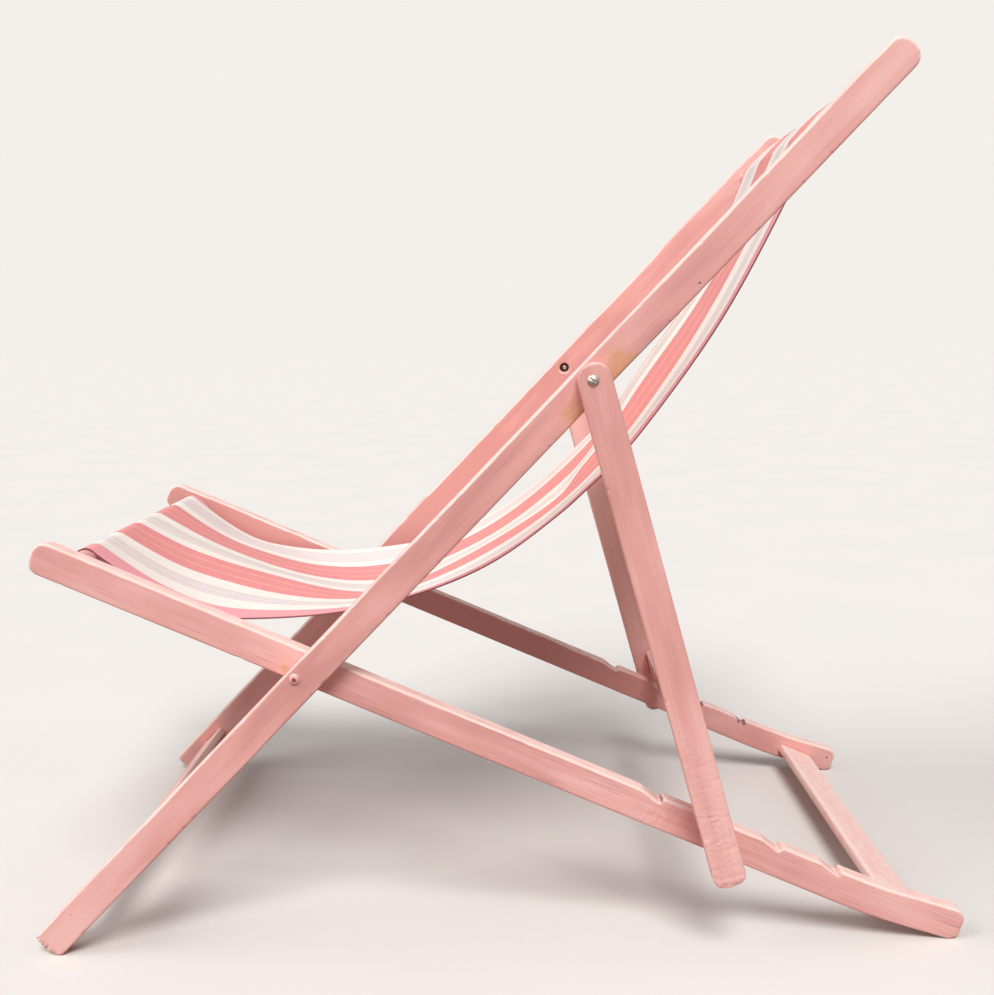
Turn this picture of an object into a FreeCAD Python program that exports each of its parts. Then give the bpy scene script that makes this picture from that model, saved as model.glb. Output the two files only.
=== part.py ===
import FreeCAD, Part
import math
import os

# Folding deck chair with a hung canvas sling. Lengths are in millimetres, angles in degrees.
# It stands on the ground plane, +Z up. The sitter looks towards -X, and the left side is -Y.
# Three wooden frames turn on each other: the back frame, the seat frame and the prop frame.
# A place on a frame is (along, off): along its rails from a pivot, and square to them.
#   back frame: along runs up to the head end, off towards the sitter
#   seat frame: along runs to the rear end, off upwards
#   prop frame: along runs down the legs, off towards the rear

# Wood that all three frames are cut from
rail_width = 36.0
rail_thickness = 22.0
rail_arris = 2.0
slat_thickness = 12.0
slat_arris = 3.0
layer_gap = 1.0

# Back frame, from the lower pivot
chair_width = 580.0
back_above_pivot = 907.0
back_below_pivot = 420.0
back_pivot_off_centre = 7.9
upper_pivot_height = 447.8
head_corner_radius = 15.0
foot_corner_radius = 12.0
foot_toe_radius = 5.0
top_bar_start = 826.0
top_bar_width = 51.0
top_bar_face_drop = 12.1
lower_bar_start = 333.0
lower_bar_width = 40.0
lower_bar_face_drop = 16.1

# Seat frame, from the lower pivot
seat_behind_pivot = 795.0
seat_before_pivot = 315.0
seat_pivot_off_centre = 8.1
seat_front_radius = 14.0
tail_corner_radius = 12.0
tail_bend_start = 690.0
tail_rise = 11.4
tail_bend_radius = 700.0
front_bar_centre = 272.0
front_bar_diameter = 25.0
front_bar_tenon_diameter = 16.0
rear_bar_start = 705.0
rear_bar_width = 51.0
rear_bar_face_drop = 12.1

# Notches in the top edge of the seat rails, counted from the front
first_notch = 424.8
notch_pitch = 72.4
notch_count = 4
notch_in_use = 1
notch_length = 26.0
notch_depth = 6.5
notch_step_lean = 3.0

# Prop frame, from the upper pivot
prop_below_pivot = 564.0
prop_above_pivot = 18.0
prop_pivot_off_centre = 2.0
prop_end_radius = 13.0
prop_bar_end = 506.0
prop_bar_width = 40.0
prop_bar_face_drop = 14.5

# Where the prop bar stands in its notch: its lower front edge ahead of the step and below the top edge
prop_bar_before_step = 11.2
prop_bar_sink = 0.5

# Depth that the ground has worn off the two pairs of resting corners
ground_wear = 0.6

# Joinery
tenon_length = 14.0
tenon_shoulder = 6.0
mortise_end_gap = 1.0
dowel_clearance = 0.1

# Pivot bolts, nuts and washers
bolt_diameter = 6.0
bolt_head_diameter = 13.0
bolt_head_height = 3.6
screw_slot_width = 1.6
screw_slot_depth = 1.4
upper_slot_angle = 35.0
lower_slot_angle = 70.0
nut_across_flats = 10.0
nut_thickness = 5.0
nut_recess_diameter = 13.0
nut_recess_depth = 6.0
washer_diameter = 17.0
running_clearance = 0.05
rubbing_gap = 0.1
washer_hole_clearance = 0.2

# Canvas sling
sling_width = 445.0
sling_offset = 15.5
canvas_thickness = 1.6
canvas_stand_off = 0.3
canvas_spans = 8
canvas_turn_under = 24.0
front_wrap_end_angle = 290.0
# The canvas lies nearer the right rail. Its middle and its two edges drop from the front bar in a
# short straight run, then hang in curves of their own
left_drop_length = 42.7
left_drop_angle = 40.1
left_hang_angle = 24.4
left_hang_pull = 560.5
left_rise_angle = 55.3
left_rise_pull = 50.0
middle_drop_length = 30.0
middle_drop_angle = 28.5
middle_hang_angle = 28.7
middle_hang_pull = 452.8
middle_rise_angle = 60.5
middle_rise_pull = 475.7
right_drop_length = 96.6
right_drop_angle = 38.8
right_hang_angle = 15.8
right_hang_pull = 523.4
right_rise_angle = 71.5
right_rise_pull = 50.0

# Tacks that hold the canvas to the top bar and the front bar
tack_count = 9
tack_edge_distance = 22.0
tack_head_diameter = 8.0
tack_head_height = 1.5
tack_shank_diameter = 2.0
tack_shank_length = 9.0
tack_hole_clearance = 0.3
tack_setback = 8.0

nut_sides = 6
full_turn = 360.0
half_turn = 180.0
square = 90.0
wood_layer = rail_thickness + layer_gap


def turned(vector, degrees):
    """A side-view vector (x, z) turned anticlockwise, as seen from the left side."""
    c = math.cos(math.radians(degrees))
    s = math.sin(math.radians(degrees))
    return (c * vector[0] - s * vector[1], s * vector[0] + c * vector[1])


def bearing(vector):
    """Angle in degrees of a side-view vector above the level, towards the rear."""
    return math.degrees(math.atan2(vector[1], vector[0]))


class SideFrame:
    """Axes of one wooden frame in the side view: its pivot and the angle of its rails."""

    def __init__(self, pivot, angle):
        self.pivot = pivot
        self.angle = angle

    def at(self, along, off):
        """Side-view point (x, z) of a place on this frame."""
        dx, dz = turned((along, off), self.angle)
        return (self.pivot[0] + dx, self.pivot[1] + dz)


def space(point, y):
    """A side-view point at a distance y across the chair."""
    return FreeCAD.Vector(point[0], y, point[1])


def outline(points, radii, y):
    """Closed wire through side-view points in order, each corner rounded to its own radius."""
    starts = []
    ends = []
    arcs = []
    count = len(points)
    for i, corner in enumerate(points):
        here = space(corner, y)
        back = space(points[i - 1], y) - here
        ahead = space(points[(i + 1) % count], y) - here
        back.normalize()
        ahead.normalize()
        half_angle = back.getAngle(ahead) / 2.0
        if radii[i] <= 0.0:
            starts.append(here)
            ends.append(here)
            arcs.append(None)
            continue
        reach = radii[i] / math.tan(half_angle)
        middle = back + ahead
        middle.normalize()
        depth = radii[i] / math.sin(half_angle) - radii[i]
        start = here + back * reach
        end = here + ahead * reach
        starts.append(start)
        ends.append(end)
        arcs.append(Part.Arc(start, here + middle * depth, end).toShape())
    edges = []
    for i in range(count):
        if arcs[i] is not None:
            edges.append(arcs[i])
        edges.append(Part.makeLine(ends[i], starts[(i + 1) % count]))
    return Part.Wire(edges)


def board(points, radii, y_low, y_high, arris):
    """Board cut to an outline in the side view, with its long edges eased."""
    face = Part.Face(outline(points, radii, y_low))
    solid = face.extrude(FreeCAD.Vector(0.0, y_high - y_low, 0.0))
    rims = []
    for edge in solid.Edges:
        box = edge.BoundBox
        if box.YLength < layer_gap / 2.0:
            rims.append(edge)
    return solid.makeFillet(arris, rims)


def slat(frame, start, width, face_off, y_low, y_high):
    """Flat bar across the chair. Its section starts at a place along a frame, its face at an off."""
    along = (start, start + width)
    low = face_off - slat_thickness
    corners = [
        frame.at(along[0], low),
        frame.at(along[1], low),
        frame.at(along[1], face_off),
        frame.at(along[0], face_off),
    ]
    face = Part.Face(outline(corners, [slat_arris] * len(corners), y_low))
    return face.extrude(FreeCAD.Vector(0.0, y_high - y_low, 0.0))


def tenon(frame, start, width, face_off, y_low, y_high):
    """Flat tongue on a slat's end, narrower than the slat by a shoulder on each side."""
    along = (start + tenon_shoulder, start + width - tenon_shoulder)
    low = face_off - slat_thickness
    corners = [
        frame.at(along[0], low),
        frame.at(along[1], low),
        frame.at(along[1], face_off),
        frame.at(along[0], face_off),
    ]
    face = Part.Face(outline(corners, [0.0] * len(corners), y_low))
    return face.extrude(FreeCAD.Vector(0.0, y_high - y_low, 0.0))


def peg(point, radius, y_low, y_high):
    """Round bar across the chair."""
    return Part.makeCylinder(radius, y_high - y_low, space(point, y_low), FreeCAD.Vector(0, 1, 0))


def bolt_hole(point, y_low, y_high):
    """Round cutter for a bolt to run in, reaching past both faces of a rail."""
    radius = bolt_diameter / 2.0 + running_clearance
    return peg(point, radius, y_low - layer_gap, y_high + layer_gap)


def other_side(shape):
    """The same piece on the right side of the chair."""
    return shape.mirror(FreeCAD.Vector(0, 0, 0), FreeCAD.Vector(0, 1, 0))


def pair(shape):
    """Two separate solids of one kind, left and right."""
    return Part.makeCompound([shape, other_side(shape)])


# Layers across the chair on the left side, from the outside in
back_outer = -chair_width / 2.0
back_inner = back_outer + rail_thickness
seat_outer = back_outer + wood_layer
seat_inner = seat_outer + rail_thickness
prop_outer = back_outer - wood_layer
prop_inner = prop_outer + rail_thickness

# Sections of the three rails, measured from their pivots
back_front_off = rail_width / 2.0 - back_pivot_off_centre
back_rear_off = back_front_off - rail_width
seat_top_off = rail_width / 2.0 + seat_pivot_off_centre
seat_bottom_off = seat_top_off - rail_width
prop_rear_off = rail_width / 2.0 + prop_pivot_off_centre
prop_front_off = prop_rear_off - rail_width


def notch_step(index):
    """Place along the seat rail of a notch's upright step."""
    return first_notch + index * notch_pitch


# The triangle of lower pivot, upper pivot and prop bar sets the angle between the frames
upper_pivot_place = (upper_pivot_height, -back_pivot_off_centre)
bar_on_seat = (notch_step(notch_in_use) - prop_bar_before_step, seat_top_off - prop_bar_sink)
bar_front_off = prop_rear_off - prop_bar_face_drop
bar_on_prop = (prop_bar_end, bar_front_off)
pivot_span = math.hypot(*upper_pivot_place)
seat_reach = math.hypot(*bar_on_seat)
prop_reach = math.hypot(*bar_on_prop)
opening_cosine = (pivot_span ** 2 + seat_reach ** 2 - prop_reach ** 2) / (2.0 * pivot_span * seat_reach)
opening = math.degrees(math.acos(opening_cosine))
fold_angle = opening - bearing(upper_pivot_place) + bearing(bar_on_seat)

# The seat rail's rear end bends up a little
tail_length = seat_behind_pivot - tail_bend_start
tail_angle = math.degrees(math.atan2(tail_rise, tail_length))


def tail_place(length, off):
    """Place on the seat frame of a point on the bent tail, from the bend and the bottom edge."""
    dx, dz = turned((length, off), tail_angle)
    return (tail_bend_start + dx, seat_bottom_off + dz)


# Both resting corners are arcs, and the ground line under them sets the tilt of the whole chair
foot_arc_place = (-back_below_pivot + foot_corner_radius, back_rear_off + foot_corner_radius)
tail_arc_place = tail_place(tail_length - tail_corner_radius, tail_corner_radius)
foot_arc_from_seat = turned(foot_arc_place, fold_angle)
foot_to_tail = (tail_arc_place[0] - foot_arc_from_seat[0], tail_arc_place[1] - foot_arc_from_seat[1])
arc_difference = tail_corner_radius - foot_corner_radius
level_turn = math.degrees(math.asin(arc_difference / math.hypot(*foot_to_tail)))
seat_angle = level_turn - bearing(foot_to_tail)
back_angle = seat_angle + fold_angle

lower_pivot = (0.0, 0.0)
seat = SideFrame(lower_pivot, seat_angle)
back = SideFrame(lower_pivot, back_angle)
upper_pivot = back.at(*upper_pivot_place)
bar_corner = seat.at(*bar_on_seat)
prop_sight = (bar_corner[0] - upper_pivot[0], bar_corner[1] - upper_pivot[1])
prop = SideFrame(upper_pivot, bearing(prop_sight) - bearing(bar_on_prop))
ground_level = seat.at(*tail_arc_place)[1] - tail_corner_radius + ground_wear


def worn_by_ground(solid):
    """Take off what reaches below the ground, so that the corner has a small flat to rest on."""
    reach = solid.BoundBox
    margin = rail_width
    block = Part.makeBox(
        reach.XLength + 2.0 * margin,
        reach.YLength + 2.0 * margin,
        rail_width,
        FreeCAD.Vector(reach.XMin - margin, reach.YMin - margin, ground_level - rail_width),
    )
    return solid.cut(block)


def crossbar(frame, start, width, face_off, inner_y):
    """Slat between two rails whose inner faces are at -inner_y and inner_y, with a tenon at each end."""
    body = slat(frame, start, width, face_off, inner_y, -inner_y)
    tongues = tenon(frame, start, width, face_off, inner_y - tenon_length, -inner_y + tenon_length)
    return body.fuse(tongues).removeSplitter()


def mortise(frame, start, width, face_off, inner_y):
    """Pocket in a left rail for a slat's tenon."""
    depth = tenon_length + mortise_end_gap
    return tenon(frame, start, width, face_off, inner_y - depth, inner_y)


def back_rail():
    """Left back rail: rounded head, squarish foot worn by the ground, holes and mortises."""
    corners = [
        back.at(-back_below_pivot, back_rear_off),
        back.at(back_above_pivot, back_rear_off),
        back.at(back_above_pivot, back_front_off),
        back.at(-back_below_pivot, back_front_off),
    ]
    radii = [foot_corner_radius, head_corner_radius, head_corner_radius, foot_toe_radius]
    rail = board(corners, radii, back_outer, back_inner, rail_arris)
    rail = worn_by_ground(rail)
    rail = rail.cut(bolt_hole(lower_pivot, back_outer, back_inner))
    rail = rail.cut(bolt_hole(upper_pivot, back_outer, back_inner))
    recess_floor = back_inner - nut_recess_depth
    rail = rail.cut(peg(upper_pivot, nut_recess_diameter / 2.0, recess_floor, back_inner + layer_gap))
    rail = rail.cut(mortise(back, top_bar_start, top_bar_width, top_bar_face, back_inner))
    return rail.cut(mortise(back, -lower_bar_top, lower_bar_width, lower_bar_face, back_inner))


def notch_cut(index):
    """Wedge taken out of the seat rail: a long ramp down to the rear, then a leaning step."""
    step = notch_step(index)
    above = seat_top_off + notch_depth
    corners = [
        seat.at(step - notch_length, seat_top_off),
        seat.at(step - notch_step_lean, seat_top_off - notch_depth),
        seat.at(step, seat_top_off),
        seat.at(step, above),
        seat.at(step - notch_length, above),
    ]
    face = Part.Face(outline(corners, [0.0] * len(corners), seat_outer - layer_gap))
    return face.extrude(FreeCAD.Vector(0.0, rail_thickness + 2.0 * layer_gap, 0.0))


def seat_rail():
    """Left seat rail: rounded front, notches on top, a tail that bends up to the rear."""
    corners = [
        seat.at(-seat_before_pivot, seat_bottom_off),
        seat.at(tail_bend_start, seat_bottom_off),
        seat.at(*tail_place(tail_length, 0.0)),
        seat.at(*tail_place(tail_length, rail_width)),
        seat.at(*tail_top_bend),
        seat.at(-seat_before_pivot, seat_top_off),
    ]
    radii = [
        seat_front_radius,
        tail_bend_radius,
        tail_corner_radius,
        tail_corner_radius,
        tail_bend_radius - rail_width,
        seat_front_radius,
    ]
    rail = board(corners, radii, seat_outer, seat_inner, rail_arris)
    rail = worn_by_ground(rail)
    for index in range(notch_count):
        rail = rail.cut(notch_cut(index))
    rail = rail.cut(bolt_hole(lower_pivot, seat_outer, seat_inner))
    socket_radius = front_bar_tenon_diameter / 2.0 + dowel_clearance
    socket_floor = seat_inner - tenon_length - mortise_end_gap
    rail = rail.cut(peg(front_bar_axis, socket_radius, socket_floor, seat_inner + layer_gap))
    return rail.cut(mortise(seat, rear_bar_start, rear_bar_width, rear_bar_face, seat_inner))


def prop_leg():
    """Left prop leg: half-round top about its pivot, blunt lower end, mortise for the prop bar."""
    corners = [
        prop.at(-prop_above_pivot, prop_front_off),
        prop.at(prop_below_pivot, prop_front_off),
        prop.at(prop_below_pivot, prop_rear_off),
        prop.at(-prop_above_pivot, prop_rear_off),
    ]
    top_radius = rail_width / 2.0 - rail_arris / 4.0
    radii = [top_radius, prop_end_radius, prop_end_radius, top_radius]
    leg = board(corners, radii, prop_outer, prop_inner, rail_arris)
    leg = leg.cut(bolt_hole(upper_pivot, prop_outer, prop_inner))
    prop_bar_start = prop_bar_end - prop_bar_width
    return leg.cut(mortise(prop, prop_bar_start, prop_bar_width, prop_bar_rear, prop_inner))


# Faces of the slats, as distances off their frames' pivots
top_bar_face = back_front_off - top_bar_face_drop
lower_bar_face = back_front_off - lower_bar_face_drop
lower_bar_top = lower_bar_start + lower_bar_width
rear_bar_face = seat_top_off - rear_bar_face_drop
prop_bar_rear = bar_front_off + slat_thickness
front_bar_axis = seat.at(-front_bar_centre, seat_pivot_off_centre)

# The top edge bends where its straight line meets the tail's top edge
top_line_shift = rail_width * math.tan(math.radians(tail_angle) / 2.0)
tail_top_bend = (tail_bend_start - top_line_shift, seat_top_off)


def front_bar():
    """Round bar at the front of the seat frame, with a thinner round tenon at each end."""
    body = peg(front_bar_axis, front_bar_diameter / 2.0, seat_inner, -seat_inner)
    tenon_reach = -seat_inner + tenon_length
    return body.fuse(peg(front_bar_axis, front_bar_tenon_diameter / 2.0, -tenon_reach, tenon_reach))


def dome_head(point, base_y, turn):
    """Low domed bolt head with a screwdriver slot, standing out to the left from base_y."""
    radius = bolt_head_diameter / 2.0
    ball = (radius ** 2 + bolt_head_height ** 2) / (2.0 * bolt_head_height)
    sphere = Part.makeSphere(ball, space(point, base_y + ball - bolt_head_height))
    head = sphere.common(peg(point, radius, base_y - 2.0 * bolt_head_height, base_y))
    slot = Part.makeBox(
        bolt_head_diameter,
        screw_slot_depth,
        screw_slot_width,
        FreeCAD.Vector(-radius, -screw_slot_depth, -screw_slot_width / 2.0),
    )
    slot.rotate(FreeCAD.Vector(0, 0, 0), FreeCAD.Vector(0, 1, 0), turn)
    slot.translate(space(point, base_y - bolt_head_height + screw_slot_depth))
    return head.cut(slot)


def pivot_bolt(point, head_y, end_y, turn):
    """Bolt across one side of the chair, its head outside."""
    shank = peg(point, bolt_diameter / 2.0, head_y, end_y)
    return dome_head(point, head_y, turn).fuse(shank).removeSplitter()


def hex_nut(point, y_low):
    """Six-sided nut on a pivot bolt."""
    corner_radius = nut_across_flats / math.sqrt(3.0)
    corners = [stepped(point, side * full_turn / nut_sides, corner_radius) for side in range(nut_sides)]
    face = Part.Face(outline(corners, [0.0] * len(corners), y_low))
    nut = face.extrude(FreeCAD.Vector(0.0, nut_thickness, 0.0))
    return nut.cut(peg(point, bolt_diameter / 2.0, y_low - layer_gap, y_low + nut_thickness + layer_gap))


def washer(point, y_low, y_high):
    """Flat ring between two turning rails."""
    ring = peg(point, washer_diameter / 2.0, y_low, y_high)
    hole_radius = bolt_diameter / 2.0 + washer_hole_clearance
    return ring.cut(peg(point, hole_radius, y_low - layer_gap, y_high + layer_gap))


upper_head_y = prop_outer - rubbing_gap
upper_nut_y = back_inner - nut_recess_depth
upper_bolt_end = upper_nut_y + nut_thickness
lower_nut_y = seat_inner + rubbing_gap
lower_bolt_end = lower_nut_y + nut_thickness + layer_gap


def bezier(points, t):
    """Point on a cubic curve with four control points."""
    u = 1.0 - t
    weights = (u ** 3, 3.0 * u * u * t, 3.0 * u * t * t, t ** 3)
    x = sum(w * p[0] for w, p in zip(weights, points))
    z = sum(w * p[1] for w, p in zip(weights, points))
    return (x, z)


def stepped(point, degrees, length):
    """Point reached from another at an angle and a distance."""
    dx, dz = turned((length, 0.0), degrees)
    return (point[0] + dx, point[1] + dz)


canvas_radius = canvas_stand_off + canvas_thickness / 2.0
front_wrap_radius = front_bar_diameter / 2.0 + canvas_radius
top_wrap_radius = slat_arris + canvas_radius
top_bar_end = top_bar_start + top_bar_width
canvas_meets_bar = back.at(top_bar_start + slat_arris, top_bar_face + canvas_radius)


def sling_line(drop_length, drop_angle, hang_angle, hang_pull, rise_angle, rise_pull):
    """Middle line of the canvas along one edge: triples (start, middle, end) of side-view points."""
    runs = []
    leave = square - drop_angle
    quarter = (leave - front_wrap_end_angle) / 4.0
    quarters = [front_wrap_end_angle + step * quarter for step in range(5)]
    around = [stepped(front_bar_axis, angle, front_wrap_radius) for angle in quarters]
    runs.append((around[0], around[1], around[2]))
    runs.append((around[2], around[3], around[4]))
    kink = stepped(around[4], -drop_angle, drop_length)
    runs.append((around[4], None, kink))
    pulls = [
        kink,
        stepped(kink, -hang_angle, hang_pull),
        stepped(canvas_meets_bar, rise_angle + half_turn, rise_pull),
        canvas_meets_bar,
    ]
    for span in range(canvas_spans):
        marks = [(span + part / 2.0) / canvas_spans for part in range(3)]
        runs.append(tuple(bezier(pulls, mark) for mark in marks))
    face = top_bar_face + canvas_radius
    rear = top_bar_face - slat_thickness - canvas_radius
    edge = top_bar_end + canvas_radius
    upper_corner = back.at(top_bar_end - slat_arris, top_bar_face - slat_arris)
    rear_corner = back.at(top_bar_end - slat_arris, top_bar_face - slat_thickness + slat_arris)
    turns = (square, square / 2.0, 0.0)
    over = [stepped(upper_corner, back_angle + turn, top_wrap_radius) for turn in turns]
    under = [stepped(rear_corner, back_angle - turn, top_wrap_radius) for turn in reversed(turns)]
    runs.append((back.at(top_bar_start + slat_arris, face), None, over[0]))
    runs.append(tuple(over))
    runs.append((over[2], None, back.at(edge, top_bar_face - slat_thickness + slat_arris)))
    runs.append(tuple(under))
    runs.append((under[2], None, back.at(top_bar_end - slat_arris - canvas_turn_under, rear)))
    return runs


def run_normals(runs):
    """Unit normals at each run's start, middle and end, shared where two runs meet."""
    headings = []
    for start, middle, end in runs:
        if middle is None:
            angle = bearing((end[0] - start[0], end[1] - start[1]))
            headings.append((angle, angle, angle))
            continue
        chord = bearing((end[0] - start[0], end[1] - start[1]))
        first = bearing((middle[0] - start[0], middle[1] - start[1]))
        bend = (first - chord + half_turn) % full_turn - half_turn
        headings.append((chord + 2.0 * bend, chord, chord - 2.0 * bend))
    normals = []
    for i, (first, middle, last) in enumerate(headings):
        before = headings[i - 1][2] if i > 0 else first
        after = headings[i + 1][0] if i < len(headings) - 1 else last
        start_turn = (before - first + half_turn) % full_turn - half_turn
        end_turn = (after - last + half_turn) % full_turn - half_turn
        normals.append((first + start_turn / 2.0, middle, last + end_turn / 2.0))
    return normals


def sling_outline(runs, y):
    """Closed wire of the canvas's section at one edge: out along one face and back along the other."""
    normals = run_normals(runs)
    faces = []
    for side in (90.0, -90.0):
        edges = []
        for (start, middle, end), (n_start, n_middle, n_end) in zip(runs, normals):
            half = canvas_thickness / 2.0
            a = space(stepped(start, n_start + side, half), y)
            b = space(stepped(end, n_end + side, half), y)
            if middle is None:
                edges.append((a, None, b))
            else:
                edges.append((a, space(stepped(middle, n_middle + side, half), y), b))
        faces.append(edges)
    upper, lower = faces
    lower = [(b, middle, a) for a, middle, b in reversed(lower)]
    ring = upper + [(upper[-1][2], None, lower[0][0])] + lower + [(lower[-1][2], None, upper[0][0])]
    edges = []
    for a, middle, b in ring:
        if middle is None:
            edges.append(Part.makeLine(a, b))
        else:
            edges.append(Part.Arc(a, middle, b).toShape())
    return Part.Wire(edges)


def tack_rows():
    """Places across the chair where the tacks stand, evenly from edge to edge."""
    reach = sling_width / 2.0 - tack_edge_distance
    gap = 2.0 * reach / (tack_count - 1)
    return [sling_offset - reach + i * gap for i in range(tack_count)]


def tack(point, degrees, y):
    """Domed tack through the canvas into a bar. It stands on the canvas and points along degrees."""
    dx, dz = turned((1.0, 0.0), degrees)
    inward = FreeCAD.Vector(dx, 0.0, dz)
    base = space(point, y)
    radius = tack_head_diameter / 2.0
    ball = (radius ** 2 + tack_head_height ** 2) / (2.0 * tack_head_height)
    sphere = Part.makeSphere(ball, base + inward * (ball - tack_head_height))
    head = sphere.common(Part.makeCylinder(radius, 2.0 * tack_head_height, base, inward * -1.0))
    shank = Part.makeCylinder(tack_shank_diameter / 2.0, tack_shank_length, base, inward)
    return head.fuse(shank).removeSplitter()


def tack_hole(point, degrees, y):
    """Hole in the canvas for one tack's shank."""
    dx, dz = turned((1.0, 0.0), degrees)
    inward = FreeCAD.Vector(dx, 0.0, dz)
    start = space(point, y) - inward * canvas_thickness
    radius = tack_shank_diameter / 2.0 + tack_hole_clearance
    return Part.makeCylinder(radius, 3.0 * canvas_thickness, start, inward)


canvas_outside = canvas_radius + canvas_thickness / 2.0 + rubbing_gap
top_tack_point = back.at(
    top_bar_end - slat_arris - canvas_turn_under + tack_setback,
    top_bar_face - slat_thickness - canvas_outside,
)
top_tack_angle = back_angle + square
front_tack_side = front_wrap_end_angle - math.degrees(tack_setback / front_wrap_radius)
front_tack_point = stepped(front_bar_axis, front_tack_side, front_bar_diameter / 2.0 + canvas_outside)
front_tack_angle = front_tack_side + half_turn


def sling():
    """Canvas sheet hung between the front bar and the top bar, wrapped round both."""
    left_side = sling_offset - sling_width / 2.0
    right_side = sling_offset + sling_width / 2.0
    left = sling_line(
        left_drop_length,
        left_drop_angle,
        left_hang_angle,
        left_hang_pull,
        left_rise_angle,
        left_rise_pull,
    )
    middle = sling_line(
        middle_drop_length,
        middle_drop_angle,
        middle_hang_angle,
        middle_hang_pull,
        middle_rise_angle,
        middle_rise_pull,
    )
    right = sling_line(
        right_drop_length,
        right_drop_angle,
        right_hang_angle,
        right_hang_pull,
        right_rise_angle,
        right_rise_pull,
    )
    sections = [
        sling_outline(left, left_side),
        sling_outline(middle, sling_offset),
        sling_outline(right, right_side),
    ]
    sheet = Part.makeLoft(sections, True, True)
    for y in tack_rows():
        sheet = sheet.cut(tack_hole(top_tack_point, top_tack_angle, y))
        sheet = sheet.cut(tack_hole(front_tack_point, front_tack_angle, y))
    return sheet


left_back_rail = back_rail()
left_seat_rail = seat_rail()
left_prop_leg = prop_leg()

parts = {
    "back_rail_left": left_back_rail,
    "back_rail_right": other_side(left_back_rail),
    "seat_rail_left": left_seat_rail,
    "seat_rail_right": other_side(left_seat_rail),
    "prop_leg_left": left_prop_leg,
    "prop_leg_right": other_side(left_prop_leg),
    "top_bar": crossbar(back, top_bar_start, top_bar_width, top_bar_face, back_inner),
    "lower_crossbar": crossbar(back, -lower_bar_top, lower_bar_width, lower_bar_face, back_inner),
    "front_bar": front_bar(),
    "rear_bar": crossbar(seat, rear_bar_start, rear_bar_width, rear_bar_face, seat_inner),
    "prop_bar": crossbar(prop, prop_bar_end - prop_bar_width, prop_bar_width, prop_bar_rear, prop_inner),
    "sling": sling(),
    "upper_pivot_bolts": pair(pivot_bolt(upper_pivot, upper_head_y, upper_bolt_end, upper_slot_angle)),
    "upper_pivot_washers": pair(washer(upper_pivot, prop_inner + rubbing_gap, back_outer)),
    "upper_pivot_nuts": pair(hex_nut(upper_pivot, upper_nut_y)),
    "lower_pivot_bolts": pair(pivot_bolt(lower_pivot, back_outer, lower_bolt_end, lower_slot_angle)),
    "lower_pivot_washers": pair(washer(lower_pivot, back_inner, seat_outer - rubbing_gap)),
    "lower_pivot_nuts": pair(hex_nut(lower_pivot, lower_nut_y)),
    "top_tacks": Part.makeCompound([tack(top_tack_point, top_tack_angle, y) for y in tack_rows()]),
    "front_tacks": Part.makeCompound([tack(front_tack_point, front_tack_angle, y) for y in tack_rows()]),
}

# The origin is on the ground, under the middle of the chair's length and width
whole = Part.makeCompound(list(parts.values())).BoundBox
shift = FreeCAD.Vector(-(whole.XMin + whole.XMax) / 2.0, 0.0, -ground_level)

os.makedirs("parts", exist_ok=True)
for name, shape in parts.items():
    placed = shape.copy()
    placed.translate(shift)
    placed.exportStep(os.path.join("parts", name + ".step"))

for label, point in (("lower pivot", lower_pivot), ("upper pivot", upper_pivot)):
    print(label, "x", round(point[0] + shift.x, 3), "z", round(point[1] + shift.z, 3))
print("angles: back", round(back_angle, 3), "seat", round(seat_angle, 3), "prop", round(prop.angle, 3))
print("fold", round(fold_angle, 3), "prop swing", round(back_angle - prop.angle, 3))
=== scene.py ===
"""Folding sling deck chair: three painted wooden frames, steel pivots and a striped canvas sling.

Sizes in the classes are millimetres and degrees. Meshes are in metres, in the chair's own frame:
the sitter looks towards -X, the left side is -Y, and the ground is at height 0.
"""

import itertools
import logging
import math
from dataclasses import dataclass, field
from enum import Enum

import bmesh
import bpy
import numpy as np
from mathutils import Matrix, Vector


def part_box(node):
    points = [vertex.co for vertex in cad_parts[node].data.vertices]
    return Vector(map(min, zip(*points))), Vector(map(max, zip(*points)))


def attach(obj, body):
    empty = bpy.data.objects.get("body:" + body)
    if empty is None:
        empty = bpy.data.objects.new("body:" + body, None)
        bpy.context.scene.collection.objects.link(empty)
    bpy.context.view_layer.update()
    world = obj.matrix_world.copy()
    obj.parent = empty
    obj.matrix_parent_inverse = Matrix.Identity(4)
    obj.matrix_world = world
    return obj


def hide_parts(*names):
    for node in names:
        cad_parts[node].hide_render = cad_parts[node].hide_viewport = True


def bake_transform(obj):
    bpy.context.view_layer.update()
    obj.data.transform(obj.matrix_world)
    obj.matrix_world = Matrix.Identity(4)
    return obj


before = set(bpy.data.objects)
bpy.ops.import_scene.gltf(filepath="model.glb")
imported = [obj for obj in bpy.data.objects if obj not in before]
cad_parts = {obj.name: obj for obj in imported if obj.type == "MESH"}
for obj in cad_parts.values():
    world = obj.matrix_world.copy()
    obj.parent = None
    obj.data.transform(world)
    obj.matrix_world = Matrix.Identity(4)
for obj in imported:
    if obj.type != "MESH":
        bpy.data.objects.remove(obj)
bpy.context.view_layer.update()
MM = 0.001
SAME_PLACE = 0.001  # Vertices that are no further apart than this, in millimetres, are joined
NOISE_SPAN = (0.3, 0.7)  # Where nearly all of Blender's noise lies
TIMES = {"operation": "MULTIPLY"}

# Odd factors that scramble a cell's numbers into one that looks random
HASH_AXES = np.array((374761393, 668265263, 1440662683))
HASH_SEED = 974711
HASH_MIX = 1274126177
HASH_MASK = 0xFFFFFFFF

Pair = tuple[float, float]
Triple = tuple[float, float, float]
Socket = bpy.types.NodeSocket

log = logging.getLogger("deck_chair")


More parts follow.
